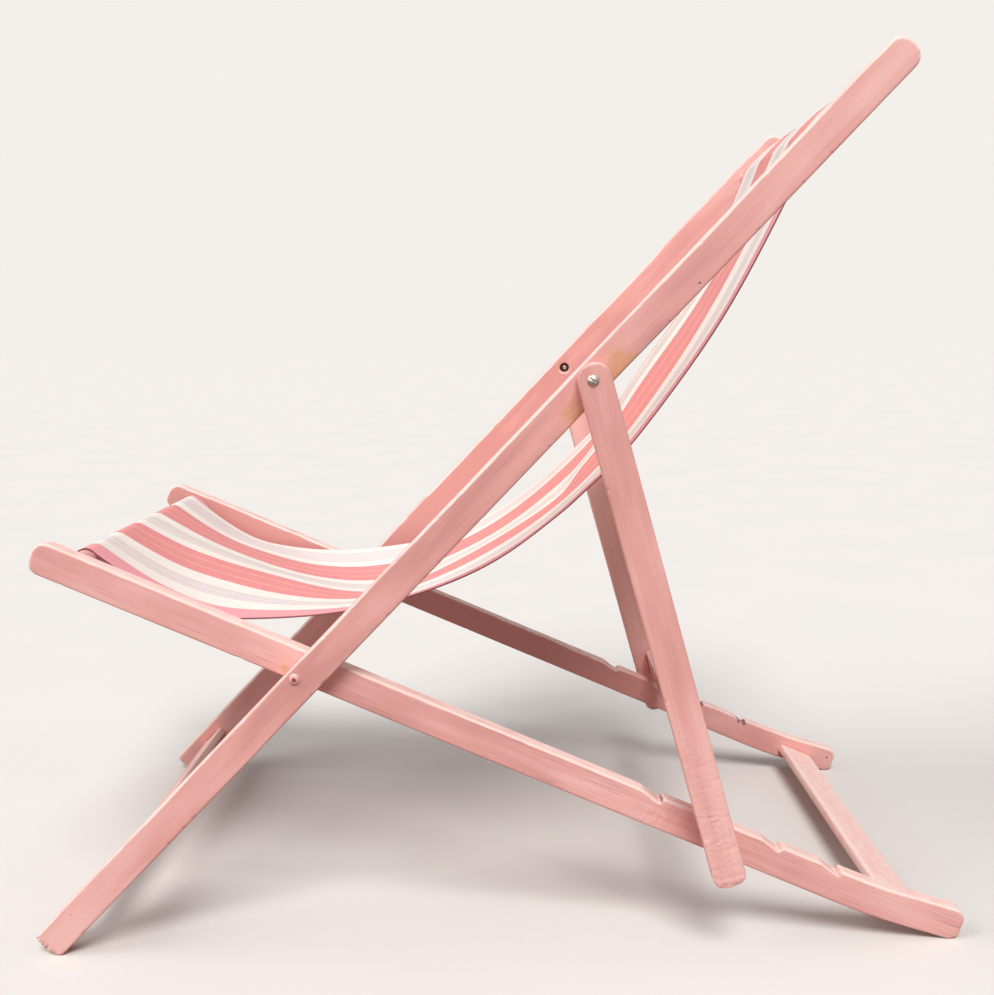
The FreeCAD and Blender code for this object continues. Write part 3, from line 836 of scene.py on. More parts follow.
@dataclass
class PaintedPiece(RemadePiece):
    """One wooden piece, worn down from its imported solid.

    Places are millimetres along the piece and off its frame's line, measured from origin.
    """

    origin: Pair
    angle: float
    seed: int
    lies_across: bool = False
    grid: float = 1.6
    arris_wear: float = 0.35
    chip_depth: float = 0.7
    battered_ends: Pair = (0.0, 0.0)
    bare: tuple[Patch, ...] = ()
    crackled: tuple[Patch, ...] = ()
    # Soiled spots, and painted shade in recesses
    dirt_and_shade: tuple[Patch, ...] = ()
    fray: float = 0.0
    # Strength of the paler worn arrises and their painted highlight
    rub_and_highlight: float = 1.0
    streaks: float = 0.05
    # Painted light and shade along the piece: places and tone shifts
    light_and_shade_stops: tuple[Pair, ...] = ((0.0, 0.0),)
    marks: Wear = Wear()

    def axes(self) -> Matrix:
        """Axes of the piece: along it, off its frame's line, and the third one square to both."""
        turn = math.radians(self.angle)
        rail = Vector((math.cos(turn), 0.0, math.sin(turn)))
        off = Vector((-math.sin(turn), 0.0, math.cos(turn)))
        side = Vector((0.0, 1.0, 0.0))
        columns = (side, off, rail) if self.lies_across else (rail, off, side)
        matrix = Matrix(columns).transposed().to_4x4()
        return Matrix.Translation((self.origin[0] * MM, 0.0, self.origin[1] * MM)) @ matrix

    def spots(self, places: np.ndarray, patches: tuple[Patch, ...]) -> np.ndarray:
        """Strength of the nearest patch at each place.

        Args:
            places: Vertices in the piece's axes, in millimetres.
            patches: The patches.

        Returns:
            One number from 0 to 1 for each place.
        """
        strength = np.zeros(len(places))
        for patch in patches:
            reach = np.hypot(places[:, 0] - patch.along, places[:, 1] - patch.off) / patch.radius
            shown = patch.strength * faded(reach, self.marks.patch_core, 1.0)
            strength = np.maximum(strength, shown)
        return strength

    def ended(self, along: np.ndarray) -> np.ndarray:
        """How battered each place is, by its nearness to an end of the piece.

        Args:
            along: Places along the piece, in millimetres.

        Returns:
            One number from 0 to 1 for each place.
        """
        ended = np.zeros(len(along))
        for gap, reach in zip((along - along.min(), along.max() - along), self.battered_ends):
            if reach > 0.0:
                ended = np.maximum(ended, faded(gap, 0.0, reach))
        return ended

    def wear(self, mesh: bpy.types.Mesh) -> None:
        """Round the arrises unevenly, chip them, batter the ends, and note where.

        Args:
            mesh: The piece on its even grid, in its own axes.
        """
        grid = MeshPoints.of(mesh)
        points = grid.points
        normals = grid.normals
        marks = self.marks
        soft = grid.softened(marks.ridge_passes)
        ridge = np.clip(np.sum((points - soft) * normals, axis=1) / marks.ridge_height, 0.0, 1.0)
        up = normals @ np.array(self.axes().inverted().to_3x3() @ Vector((0.0, 0.0, 1.0)))
        upper = eased(up, *marks.upper_marks)
        ended = self.ended(points[:, 0])

        short_rubs = soft_noise(points, marks.short_rubs, self.seed + 1)
        rubs = soft_noise(points, marks.long_rubs, self.seed) + marks.short_share * short_rubs
        worn = eased(rubs, *marks.rub_marks)
        chips = eased(soft_noise(points, marks.chips, self.seed + 2), *marks.chip_marks) * ridge
        waves = soft_noise(points, marks.long_waves, self.seed + 3)
        dents = np.abs(soft_noise(points, marks.dents, self.seed + 4))
        ripples = np.abs(soft_noise(points, marks.ripples, self.seed + 5))
        streaks = eased(soft_noise(points, marks.streaks, self.seed + 6), *marks.streak_marks)
        splinters = np.maximum(soft_noise(points, marks.splinters, self.seed + 7), 0.0)
        nicks = np.abs(soft_noise(points, marks.nicks, self.seed + 8))
        crackled = self.spots(points, self.crackled)
        bare = self.spots(points, self.bare)
        dirt_and_shade = self.spots(points, self.dirt_and_shade)

        sink = marks.wave_depth * (1.0 + waves) + self.chip_depth * chips
        sink += ended * (marks.dent_depth * dents + self.fray * splinters)
        sink += crackled * (marks.ripple_depth * ripples + marks.nick_depth * nicks * nicks)
        sink += marks.bare_depth * bare
        rounding = marks.least_rounding + self.arris_wear * worn + marks.end_rounding * ended
        rounding = np.clip(rounding, 0.0, marks.most_rounding)
        rounding *= np.minimum(1.0, ridge * marks.ridge_gain)
        placed = points + (soft - points) * rounding[:, None] - normals * sink[:, None]
        mesh.vertices.foreach_set("co", (placed * MM).astype(np.float32).ravel())

        # Worn upward arrises and battered ends are paler, and upward arrises and faces get a
        # painted highlight, but not where soiling and painted shade lie
        rubbed_and_highlit = ridge * (marks.arris_rub_and_highlight + worn) * eased(up, *marks.arris_marks)
        rubbed_and_highlit += marks.end_rub * ended
        rubbed_and_highlit += marks.upper_highlight * upper * (1.0 + eased(short_rubs, *marks.spot_marks))
        rubbed_and_highlit *= self.rub_and_highlight * np.clip(1.0 - marks.dirt_and_shade_hiding * dirt_and_shade, 0.0, 1.0)
        # Painted light and shade: shifts along the piece, and more painted light on upward faces
        stops = np.array(self.light_and_shade_stops)
        light_and_shade_along = np.interp(points[:, 0], stops[:, 0], stops[:, 1])
        add_attribute(mesh, "grain_place", points * MM + self.seed * marks.seed_shift)
        add_attribute(mesh, "rubbed_and_highlit", np.clip(rubbed_and_highlit, 0.0, 1.0))
        add_attribute(mesh, "bare", np.clip(bare + marks.chip_bareness * chips, 0.0, 1.0))
        crackled = np.clip(crackled + marks.end_crackle * ended, 0.0, 1.0)
        add_attribute(mesh, "crackled", crackled)
        add_attribute(mesh, "dirt_and_shade", dirt_and_shade)
        add_attribute(mesh, "streaked", self.streaks * streaks)
        add_attribute(mesh, "painted_light_and_shade", light_and_shade_along + marks.upper_painted_light * upper)

    def build(self, paint: bpy.types.Material) -> None:
        """Make the worn piece and set it on its body.

        Args:
            paint: The wood's finish.
        """
        mesh = remeshed(self.node, self.axes(), self.grid)
        self.wear(mesh)
        mesh.transform(self.axes())
        self.settle(mesh, "worn", paint)


@dataclass(frozen=True)
class Layout:
    """Places that the frames share, in the side view: pivots and the angles of the rails."""

    lower_pivot: Pair
    upper_pivot: Pair
    back_angle: float = 45.8
    seat_angle: float = -23.641
    prop_angle: float = -74.841

    def back_place(self, along: float, off: float) -> np.ndarray:
        """Side-view point of a place on the back frame, in millimetres."""
        return self.placed(self.back_angle, along, off)

    def seat_place(self, along: float, off: float) -> np.ndarray:
        """Side-view point of a place on the seat frame, in millimetres."""
        return self.placed(self.seat_angle, along, off)

    def upper_on_back(self) -> Pair:
        """The upper pivot's place on the back frame: along its rails and off them."""
        turn = math.radians(self.back_angle)
        x = self.upper_pivot[0] - self.lower_pivot[0]
        z = self.upper_pivot[1] - self.lower_pivot[1]
        return (x * math.cos(turn) + z * math.sin(turn), z * math.cos(turn) - x * math.sin(turn))

    def placed(self, angle: float, along: float, off: float) -> np.ndarray:
        """Side-view point of a place on a frame that turns on the lower pivot.

        Args:
            angle: The angle of its rails.
            along: Distance along the rails.
            off: Distance square to them.

        Returns:
            The point's x and z, in millimetres.
        """
        turn = math.radians(angle)
        x = self.lower_pivot[0] + along * math.cos(turn) - off * math.sin(turn)
        z = self.lower_pivot[1] + along * math.sin(turn) + off * math.cos(turn)
        return np.array((x, z))


def middle_of(node: str) -> Pair:
    """Side-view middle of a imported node, in millimetres."""
    low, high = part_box(node)
    return ((low.x + high.x) / 2.0 / MM, (low.z + high.z) / 2.0 / MM)


@dataclass
class WoodenFrame:
    """One of the three frames: wooden pieces on one body."""

    layout: Layout

    def pieces(self) -> list[PaintedPiece]:
        """The frame's pieces, their wear, and the light and shade painted on them."""
        raise NotImplementedError

    def build(self, paint: bpy.types.Material) -> None:
        """Make the frame's wood.

        Args:
            paint: The wood's finish.
        """
        for piece in self.pieces():
            piece.build(paint)


@dataclass
class BackFrame(WoodenFrame):
    """Two long back rails with a flat bar at the top and one near the feet."""

    frayed_foot: Pair = (9.0, 0.0)

    def pieces(self) -> list[PaintedPiece]:
        """The back frame's pieces, their wear, and the light and shade painted on them."""
        line = {"origin": self.layout.lower_pivot, "angle": self.layout.back_angle}
        return [
            PaintedPiece(
                "back_rail_left",
                Frame.BACK,
                **line,
                seed=11,
                grid=1.2,
                battered_ends=self.frayed_foot,
                fray=4.5,
                rub_and_highlight=1.3,
                bare=(
                    Patch(479.0, -20.0, 32.0, 0.9),
                    Patch(413.0, -20.0, 26.0, 0.85),
                    Patch(-418.0, -10.0, 10.0, 0.3),
                ),
                dirt_and_shade=(Patch(-369.0, -1.0, 2.6, 0.5), Patch(594.0, -19.0, 2.6, 0.6)),
                # Painted light and shade along the rail: paler at the foot and head, darker in the
                # middle
                light_and_shade_stops=(
                    (-420.0, 0.7),
                    (-200.0, 0.2),
                    (0.0, -0.5),
                    (300.0, -0.4),
                    (600.0, -0.2),
                    (907.0, 0.7),
                ),
            ),
            PaintedPiece(
                "back_rail_right",
                Frame.BACK,
                **line,
                seed=12,
                battered_ends=self.frayed_foot,
                # Painted shade in and around the far upper pivot's recess
                dirt_and_shade=(Patch(*self.layout.upper_on_back(), 11.0),),
                # Painted shade along the far rail, darkest under the sling, with painted light at
                # the head
                light_and_shade_stops=((-420.0, 0.3), (0.0, -0.9), (300.0, -1.5), (600.0, -0.3), (907.0, 0.6)),
            ),
            PaintedPiece("top_bar", Frame.BACK, **line, seed=13, lies_across=True),
            PaintedPiece("lower_crossbar", Frame.BACK, **line, seed=14, lies_across=True),
        ]


@dataclass
class SeatFrame(WoodenFrame):
    """Two notched seat rails with a round bar in front and a flat bar at the rear."""

    battered_ends: Pair = (5.0, 8.0)

    def pieces(self) -> list[PaintedPiece]:
        """The seat frame's pieces, their wear, and the light and shade painted on them."""
        line = {"origin": self.layout.lower_pivot, "angle": self.layout.seat_angle}
        return [
            PaintedPiece(
                "seat_rail_left",
                Frame.SEAT,
                **line,
                seed=21,
                grid=1.2,
                arris_wear=0.2,
                battered_ends=self.battered_ends,
                bare=(Patch(-14.0, -2.0, 9.0, 0.8), Patch(792.0, 2.0, 9.0, 0.6)),
                crackled=(
                    Patch(430.0, 12.0, 42.0),
                    Patch(500.0, 5.0, 30.0, 0.7),
                    Patch(300.0, 5.0, 120.0, 0.25),
                ),
                dirt_and_shade=(
                    Patch(423.0, 23.0, 4.5, 0.5),
                    Patch(640.5, 22.5, 4.0, 0.4),
                    Patch(786.0, -6.0, 3.0, 0.8),
                ),
                streaks=0.42,
                # Painted light and shade along the rail
                light_and_shade_stops=((-315.0, 0.3), (0.0, 0.1), (250.0, -0.2), (420.0, 0.3), (795.0, 0.3)),
            ),
            PaintedPiece(
                "seat_rail_right",
                Frame.SEAT,
                **line,
                seed=22,
                grid=1.3,
                battered_ends=self.battered_ends,
                dirt_and_shade=(
                    Patch(630.0, 23.0, 6.0, 0.8),
                    Patch(638.0, 21.5, 5.5, 0.8),
                    Patch(567.0, 22.0, 4.0, 0.6),
                    Patch(780.0, 22.0, 4.0, 0.6),
                ),
                # Painted shade along the far rail under the sling, lighter towards its rear
                light_and_shade_stops=((-315.0, -0.9), (0.0, -1.4), (300.0, -1.4), (600.0, 0.1), (795.0, 0.4)),
            ),
            PaintedPiece(
                "front_bar",
                Frame.SEAT,
                **line,
                seed=23,
                lies_across=True,
                rub_and_highlight=0.1,
                # Painted shade over the whole bar
                light_and_shade_stops=((0.0, -1.5),),
            ),
            # The rear bar is painted lighter all over: painted light
            PaintedPiece(
                "rear_bar", Frame.SEAT, **line, seed=24, lies_across=True, light_and_shade_stops=((0.0, 1.3),)
            ),
        ]


@dataclass
class PropFrame(WoodenFrame):
    """Two prop legs with the flat bar that stands in the notches."""

    crackled: tuple[Patch, ...] = (
        Patch(420.0, 0.0, 70.0, 0.6),
        Patch(500.0, 0.0, 60.0, 0.9),
        Patch(548.0, 0.0, 35.0),
    )

    def pieces(self) -> list[PaintedPiece]:
        """The prop frame's pieces, their wear, and the light and shade painted on them."""
        line = {"origin": self.layout.upper_pivot, "angle": self.layout.prop_angle}
        # Painted light and shade along the prop legs: the near leg darker at the top, the far leg
        # lighter
        near_leg_light_and_shade = ((-18.0, -0.5), (200.0, 0.0), (400.0, 0.4), (564.0, 0.9))
        far_leg_light_and_shade = ((-18.0, 1.2), (564.0, 0.8))
        legs = [
            PaintedPiece(
                node,
                Frame.PROP,
                **line,
                seed=seed,
                grid=grid,
                battered_ends=(3.0, 9.0),
                fray=3.5,
                crackled=self.crackled,
                rub_and_highlight=0.22,
                streaks=0.09,
                light_and_shade_stops=leg_light_and_shade,
            )
            for node, seed, grid, leg_light_and_shade in (
                ("prop_leg_left", 31, 1.2, near_leg_light_and_shade),
                ("prop_leg_right", 32, 1.5, far_leg_light_and_shade),
            )
        ]
        return [*legs, PaintedPiece("prop_bar", Frame.PROP, **line, seed=33, lies_across=True)]


@dataclass
class TurnedPiece(RemadePiece):
    """Turned steel fastener with smooth round faces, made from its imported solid."""

    grid: float = 0.35
    passes: int = 2
    slot: Slot = field(default=Slot.STEEL, kw_only=True)

    def build(self, finish: bpy.types.Material) -> None:
        """Make the fastener and set it on its body.

        Args:
            finish: The fastener's steel.
        """
        mesh = remeshed(self.node, Matrix.Identity(4), self.grid)
        soft = MeshPoints.of(mesh).softened(self.passes)
        mesh.vertices.foreach_set("co", (soft * MM).astype(np.float32).ravel())
        self.settle(mesh, "turned", finish)


@dataclass
class Hardware:
    """Bolts, nuts, washers and tacks. The nuts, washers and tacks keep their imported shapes."""

    layout: Layout
    bright: Steel = Steel()
    dull: Steel = Steel("stamped_mild_steel", "#9A938C", "#6E625A", 0.45)
    # Darker reddish steel for the upper pivot nuts, which sit in recesses
    dark_steel: Steel = Steel("dark_mild_steel", "#6A463C", "#3A201A", 0.6)
    dark_steel_nodes: tuple[str, ...] = ("upper_pivot_nuts",)
    dull_nodes: tuple[str, ...] = (
        "lower_pivot_nuts",
        "upper_pivot_washers",
        "lower_pivot_washers",
        "top_tacks",
        "front_tacks",
    )

    def build(self, paint: bpy.types.Material) -> None:
        """Make the bolts and give each other steel node its finish.

        Args:
            paint: The frames' paint, which also covers the lower bolts' heads.
        """
        TurnedPiece("upper_pivot_bolts", Frame.BACK).build(self.bright.material())
        PaintedPiece(
            "lower_pivot_bolts",
            Frame.BACK,
            self.layout.lower_pivot,
            self.layout.back_angle,
            seed=41,
            grid=0.4,
            arris_wear=0.2,
            chip_depth=0.0,
            dirt_and_shade=(Patch(0.0, 0.0, 3.6),),
            slot=Slot.PAINTED_STEEL,
        ).build(paint)
        for steel, names in ((self.dull, self.dull_nodes), (self.dark_steel, self.dark_steel_nodes)):
            finish = steel.material()
            for name in names:
                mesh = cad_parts[name].data
                mesh.materials.clear()
                mesh.materials.append(finish)
                log.info("%s: %s", name, finish.name)


@dataclass(frozen=True)
class Drape:
    """How deep the canvas hangs below the straight line between its two bars.

    Each row has a distance along that line, from the front bar's middle, and the depths below it
    at the places across. The right side drops steeply at the front, and a shallow fold starts half
    way along the middle.
    """

    places: tuple[int, ...] = (-207, -150, -100, -60, -20, 20, 60, 137, 190, 231)
    rows: tuple[tuple[float, tuple[float, ...]], ...] = (
        (40, (56.1, 52.4, 46.2, 42.3, 39.5, 39.8, 42.8, 54.1, 60.7, 65.4)),
        (60, (91.1, 82.4, 74.8, 69.6, 66.6, 68.6, 73.4, 85.3, 92.3, 97.3)),
        (85, (125.1, 110.7, 103.5, 98.4, 96.4, 100.6, 106.7, 115.5, 119.6, 122.1)),
        (120, (149.2, 141.9, 139.4, 135.1, 134.2, 140.6, 147.4, 152.0, 151.3, 149.5)),
        (165, (173.7, 173.3, 177.2, 177.9, 179.8, 184.7, 188.3, 186.5, 182.1, 177.6)),
        (225, (200.9, 206.1, 212.8, 218.0, 222.0, 223.9, 223.5, 217.4, 211.7, 206.7)),
        (300, (223.6, 229.9, 233.5, 236.4, 238.5, 239.8, 239.9, 237.7, 235.4, 233.4)),
        (400, (236.1, 239.2, 240.3, 241.4, 242.7, 244.5, 245.3, 243.7, 242.7, 241.9)),
        (470, (229.6, 233.9, 235.4, 237.8, 239.3, 238.7, 237.4, 235.7, 235.8, 236.2)),
        (500, (224.8, 228.3, 230.7, 232.7, 233.8, 233.1, 231.9, 230.0, 230.0, 230.4)),
        (525, (219.2, 222.8, 225.0, 223.7, 222.8, 224.5, 225.8, 224.3, 224.3, 224.6)),
        (560, (211.1, 213.6, 215.1, 211.8, 209.1, 210.2, 212.2, 214.8, 215.7, 216.2)),
        (640, (182.1, 184.2, 183.7, 176.8, 169.9, 167.2, 168.6, 179.0, 185.7, 190.8)),
        (740, (136.3, 137.9, 135.0, 129.9, 124.9, 122.4, 123.3, 132.6, 139.5, 145.0)),
        (850, (70.1, 70.7, 69.2, 67.6, 66.5, 66.7, 68.3, 73.8, 77.7, 80.6)),
        (935, (14.5, 14.8, 15.0, 15.3, 15.6, 15.9, 16.4, 17.6, 17.6, 17.2)),
    )

    def stations(self) -> np.ndarray:
        """Distances along the line, one for each row."""
        return np.array([station for station, _ in self.rows])

    def depths(self, across: np.ndarray) -> np.ndarray:
        """Read the table at other places across.

        Args:
            across: Places across, in millimetres from the chair's middle.

        Returns:
            One row of depths for each of the table's distances.
        """
        table = np.array([depths for _, depths in self.rows])
        return natural_spline(np.array(self.places, dtype=float), table.T, across).T


@dataclass
class Sling:
    """Canvas hung between the front bar and the top bar, wrapped round both and tacked.

    Fields that end in _from and _to are distances along the canvas between which something comes
    in and goes out. They start at the end of the free canvas that each comment names.
    """

    layout: Layout
    drape: Drape = Drape()
    cloth: StripedCanvas = StripedCanvas()
    left_edge: float = -212.0
    left_fold: float = -207.0
    left_bend: float = 1.5
    fold_line: float = 228.0
    past_fold: float = 3.0
    selvedge: float = 14.0
    selvedge_bend: float = 4.0
    selvedge_turn: float = 80.0
    thickness: float = 1.1
    stand_off: float = 1.1
    wrap_end: float = 290.0
    wrap_steps: int = 36
    turn_under: float = 24.0
    front_bar_centre: Pair = (-272.0, 8.1)
    front_bar_radius: float = 12.5
    far_mark: Pair = (841.0, -0.9)
    top_bar_start: float = 826.0
    top_bar_width: float = 51.0
    top_bar_face: float = -2.0
    bar_arris: float = 3.0
    bar_thickness: float = 12.0
    face_rows: int = 15
    face_swell: float = 1.2
    corner_steps: int = 6
    under_rows: int = 8
    column_width: float = 3.2
    least_gap: float = 1.2
    # Reach and spacing of the closer columns
    hem_columns: Pair = (8.0, 0.8)
    crease_columns: Pair = (8.0, 1.0)
    selvedge_columns: Pair = (18.0, 1.0)
    row_length: float = 3.6
    span_length: float = 1150.0
    crease_place: float = -15.0
    crease_width: float = 3.0
    crease_depth: float = 1.6
    tack_pitch: float = 50.1
    pucker_depth: float = 0.5
    slack_size: Triple = (60.0, 380.0, 1.0)
    slack_depth: float = 0.7
    slack_seed: int = 5
    gather: float = 5.0
    gather_across: Pair = (300.0, 435.0)
    blend_start: float = 0.03
    # From the front bar
    hanging_from: Pair = (12.0, 60.0)
    crease_from: Pair = (490.0, 560.0)
    pucker_from: Pair = (-14.0, 0.0)
    pucker_to: Pair = (0.0, 90.0)
    hem_from: Pair = (-6.0, 10.0)
    hem_to: Pair = (60.0, 150.0)
    # Painted pink bounce light on the back of the sling
    pink_bounce_from: Pair = (380.0, 560.0)
    pink_bounce_to: Pair = (700.0, 1000.0)
    # From the top bar
    hanging_to: Pair = (-110.0, -25.0)
    crease_to: Pair = (-90.0, -20.0)

    def flat_width(self) -> float:
        """Width of the flat cloth, in millimetres."""
        return self.fold_line - self.left_edge + self.selvedge

    def columns(self) -> np.ndarray:
        """Places of the mesh's columns on the flat cloth, closer at the crease and the edges."""
        width = self.flat_width()
        crease = self.crease_place - self.left_edge
        left = np.arange(0.0, *self.hem_columns)
        reach, step = self.crease_columns
        middle = np.arange(crease - reach, crease + reach, step)
        reach, step = self.selvedge_columns
        right = np.arange(width - reach, width, step)
        fine = np.concatenate((left, middle, right))
        marks = np.arange(0.0, width, self.column_width)
        coarse = [m for m in marks if np.abs(fine - m).min() > self.least_gap]
        return np.sort(np.concatenate((fine, coarse, (width,))))

    @staticmethod
    def arc(
        centre: np.ndarray, radius: float, start: np.ndarray, end: np.ndarray, steps: int
    ) -> np.ndarray:
        """Points along one arc for each column.

        Args:
            centre: The arcs' centre.
            radius: Their radius.
            start: Angle of each first point.
            end: Angle of each last point.
            steps: Number of steps.

        Returns:
            Rows of points, one more than the steps.
        """
        share = np.linspace(0.0, 1.0, steps + 1)[:, None]
        turns = np.radians(start + (end - start) * share)
        return centre + radius * np.stack((np.cos(turns), np.sin(turns)), axis=2)

    def hang(self, across: np.ndarray) -> tuple[np.ndarray, np.ndarray]:
        """Lay the canvas from the front bar to the top bar.

        Args:
            across: Place of each column, in millimetres from the chair's middle.

        Returns:
            Rows of side-view points, and for each column the angle on the front bar at which the
            canvas leaves it.
        """
        front = self.layout.seat_place(*self.front_bar_centre)
        mark = self.layout.back_place(*self.far_mark)
        meets = self.layout.back_place(
            self.top_bar_start + self.bar_arris, self.top_bar_face + self.stand_off
        )
        ahead = (mark - front) / float(np.hypot(*(mark - front)))
        down = np.array((ahead[1], -ahead[0]))
        stations = self.drape.stations()
        depths = self.drape.depths(across)
        radius = self.front_bar_radius + self.stand_off
        reach = np.hypot(depths[0], stations[0])
        leans = np.arctan2(depths[0], stations[0]) + np.arcsin(radius / reach)
        slope = math.degrees(math.atan2(ahead[1], ahead[0]))
        last = ((meets - front) @ ahead, (meets - front) @ down)
        rows = int(self.span_length / self.row_length)
        points = []
        for column, lean in enumerate(leans):
            marks = np.concatenate(((radius * math.sin(lean),), stations, (last[0],)))
            sags = np.concatenate(((-radius * math.cos(lean),), depths[:, column], (last[1],)))
            steps = np.hypot(np.diff(marks), np.diff(sags))
            run = np.concatenate(((0.0,), np.cumsum(steps)))
            places = np.linspace(0.0, run[-1], rows)
            along = natural_spline(run, marks, places)
            below = natural_spline(run, sags, places)
            points.append(front + along[:, None] * ahead + below[:, None] * down)
        return np.stack(points, axis=1), 90.0 + slope - np.degrees(leans)

    def over_top_bar(self, count: int) -> np.ndarray:
        """Wrap the canvas over the top bar and turn it under.

        Args:
            count: Number of columns.

        Returns:
            Rows of side-view points.
        """
        place = self.layout.back_place
        first = self.top_bar_start + self.bar_arris
        last = self.top_bar_start + self.top_bar_width - self.bar_arris
        bend = self.bar_arris + self.stand_off
        rear = self.top_bar_face - self.bar_thickness
        line = []
        for step in np.linspace(0.0, 1.0, self.face_rows)[1:]:
            swell = self.face_swell * math.sin(math.pi * step)
            along = first + (last - first) * step
            line.append(place(along, self.top_bar_face + self.stand_off + swell))
        angles = [np.array((self.layout.back_angle + turn,)) for turn in (90.0, 0.0, -90.0)]
        corner = place(last, self.top_bar_face - self.bar_arris)
        line += list(self.arc(corner, bend, angles[0], angles[1], self.corner_steps)[1:, 0])
        corner = place(last, rear + self.bar_arris)
        line += list(self.arc(corner, bend, angles[1], angles[2], self.corner_steps)[:, 0])
        for step in np.linspace(0.0, 1.0, self.under_rows)[1:]:
            line.append(place(last - self.turn_under * step, rear - self.stand_off))
        return np.repeat(np.array(line)[:, None, :], count, axis=1)

    def surface(self) -> tuple[np.ndarray, np.ndarray, slice]:
        """Lay out the canvas's middle surface.

        Returns:
            Points as rows along by columns across by x, y, z, in millimetres, the same grid of
            places on the flat cloth, across and along, and the rows between the two bars.
        """
        flat_across = self.columns()
        across = self.left_edge + flat_across
        span, leaves = self.hang(np.clip(across, self.left_fold, self.fold_line + self.past_fold))
        front = self.layout.seat_place(*self.front_bar_centre)
        radius = self.front_bar_radius + self.stand_off
        ends = np.full(len(across), self.wrap_end)
        wrap = self.arc(front, radius, ends, leaves, self.wrap_steps)
        side = np.concatenate((wrap[:-1], span, self.over_top_bar(len(across))))
        free = slice(len(wrap) - 1, len(wrap) - 1 + len(span))
        sideways = np.broadcast_to(across, side.shape[:2])
        points = np.stack((side[..., 0], sideways, side[..., 1]), axis=2)
        steps = np.linalg.norm(np.diff(side, axis=0), axis=2).mean(axis=1)
        along = np.concatenate(((0.0,), np.cumsum(steps)))
        places = np.broadcast_to(flat_across, side.shape[:2])
        flat = np.stack((places, np.broadcast_to(along[:, None], places.shape)), axis=2)
        return points, flat, free

    def shaped(self, points: np.ndarray, flat: np.ndarray, free: slice) -> np.ndarray:
        """Turn the hems down and add the crease, the slack and the puckers.

        The right hem turns down all along, and the left one only near the front bar.

        Args:
            points: The smooth middle surface.
            flat: Places on the flat cloth.
            free: The rows between the two bars.

        Returns:
            The finished middle surface.
        """
        ahead = np.gradient(points, axis=0)
        normals = np.stack((-ahead[..., 2], np.zeros(ahead.shape[:2]), ahead[..., 0]), axis=2)
        normals /= np.linalg.norm(normals, axis=2)[..., None]
        across = flat[..., 0]
        along = flat[..., 1] - flat[free.start, 0, 1]
        before_end = flat[..., 1] - flat[free.stop - 1, 0, 1]
        hanging = eased(along, *self.hanging_from) * faded(before_end, *self.hanging_to)
        creased = eased(along, *self.crease_from) * faded(before_end, *self.crease_to)
        near_bar = eased(along, *self.hem_from) * faded(along, *self.hem_to)
        tacked = eased(along, *self.pucker_from) * faded(along, *self.pucker_to)

        pinch = np.exp(-(((points[..., 1] - self.crease_place) / self.crease_width) ** 2))
        lift = -self.crease_depth * creased * pinch
        turns = 2.0 * math.pi * (across - self.flat_width() / 2.0) / self.tack_pitch
        lift += self.pucker_depth * (np.cos(turns) + 1.0) * tacked
        spread = np.stack((across.ravel(), flat[..., 1].ravel(), np.zeros(across.size)), axis=1)
        slack = soft_noise(spread, self.slack_size, self.slack_seed).reshape(across.shape)
        lift += self.slack_depth * hanging * slack

        right = np.maximum(across - (self.fold_line - self.left_edge), 0.0)
        out, fall = self.turned_down(right, self.selvedge_bend, hanging)
        left = np.maximum(self.left_fold - self.left_edge - across, 0.0)
        left_out, left_fall = self.turned_down(left, self.left_bend, near_bar)
        placed = points + normals * (lift - fall - left_fall)[..., None]

        # The right side is gathered along the front bar
        gather = self.gather * eased(across, *self.gather_across) * faded(along, *self.pucker_to)
        placed[..., 1] = np.clip(points[..., 1], self.left_fold, self.fold_line)
        placed[..., 1] += out - left_out - gather
        return placed

    def turned_down(
        self, past: np.ndarray, bend: float, share: np.ndarray
    ) -> tuple[np.ndarray, np.ndarray]:
        """Bend a hem down past its fold line, then let it hang straight.

        Args:
            past: How far each place lies past the fold line.
            bend: Radius of the bend.
            share: How much of the full turn each place gets, from 0 to 1.

        Returns:
            How far each place then lies outside the fold line, and how far below it.
        """
        turn = np.radians(self.selvedge_turn) * share
        curved = np.minimum(past / bend, turn)
        straight = np.maximum(past - bend * turn, 0.0)
        out = bend * np.sin(curved) + straight * np.cos(turn)
        return out, bend * (1.0 - np.cos(curved)) + straight * np.sin(turn)

    def build(self) -> None:
        """Make the canvas and dress it."""
        points, flat, free = self.surface()
        points = self.shaped(points, flat, free)
        numbers = np.arange(points.size // 3).reshape(points.shape[:2])
        corners = (numbers[:-1, :-1], numbers[:-1, 1:], numbers[1:, 1:], numbers[1:, :-1])
        faces = np.stack(corners, axis=-1).reshape(-1, 4)
        mesh = bpy.data.meshes.new("sling_canvas")
        mesh.from_pydata((points.reshape(-1, 3) * MM).tolist(), [], faces.tolist())
        places = np.concatenate((flat.reshape(-1, 2), np.zeros((flat.size // 2, 1))), axis=1)
        add_attribute(mesh, "cloth_place", places * MM)
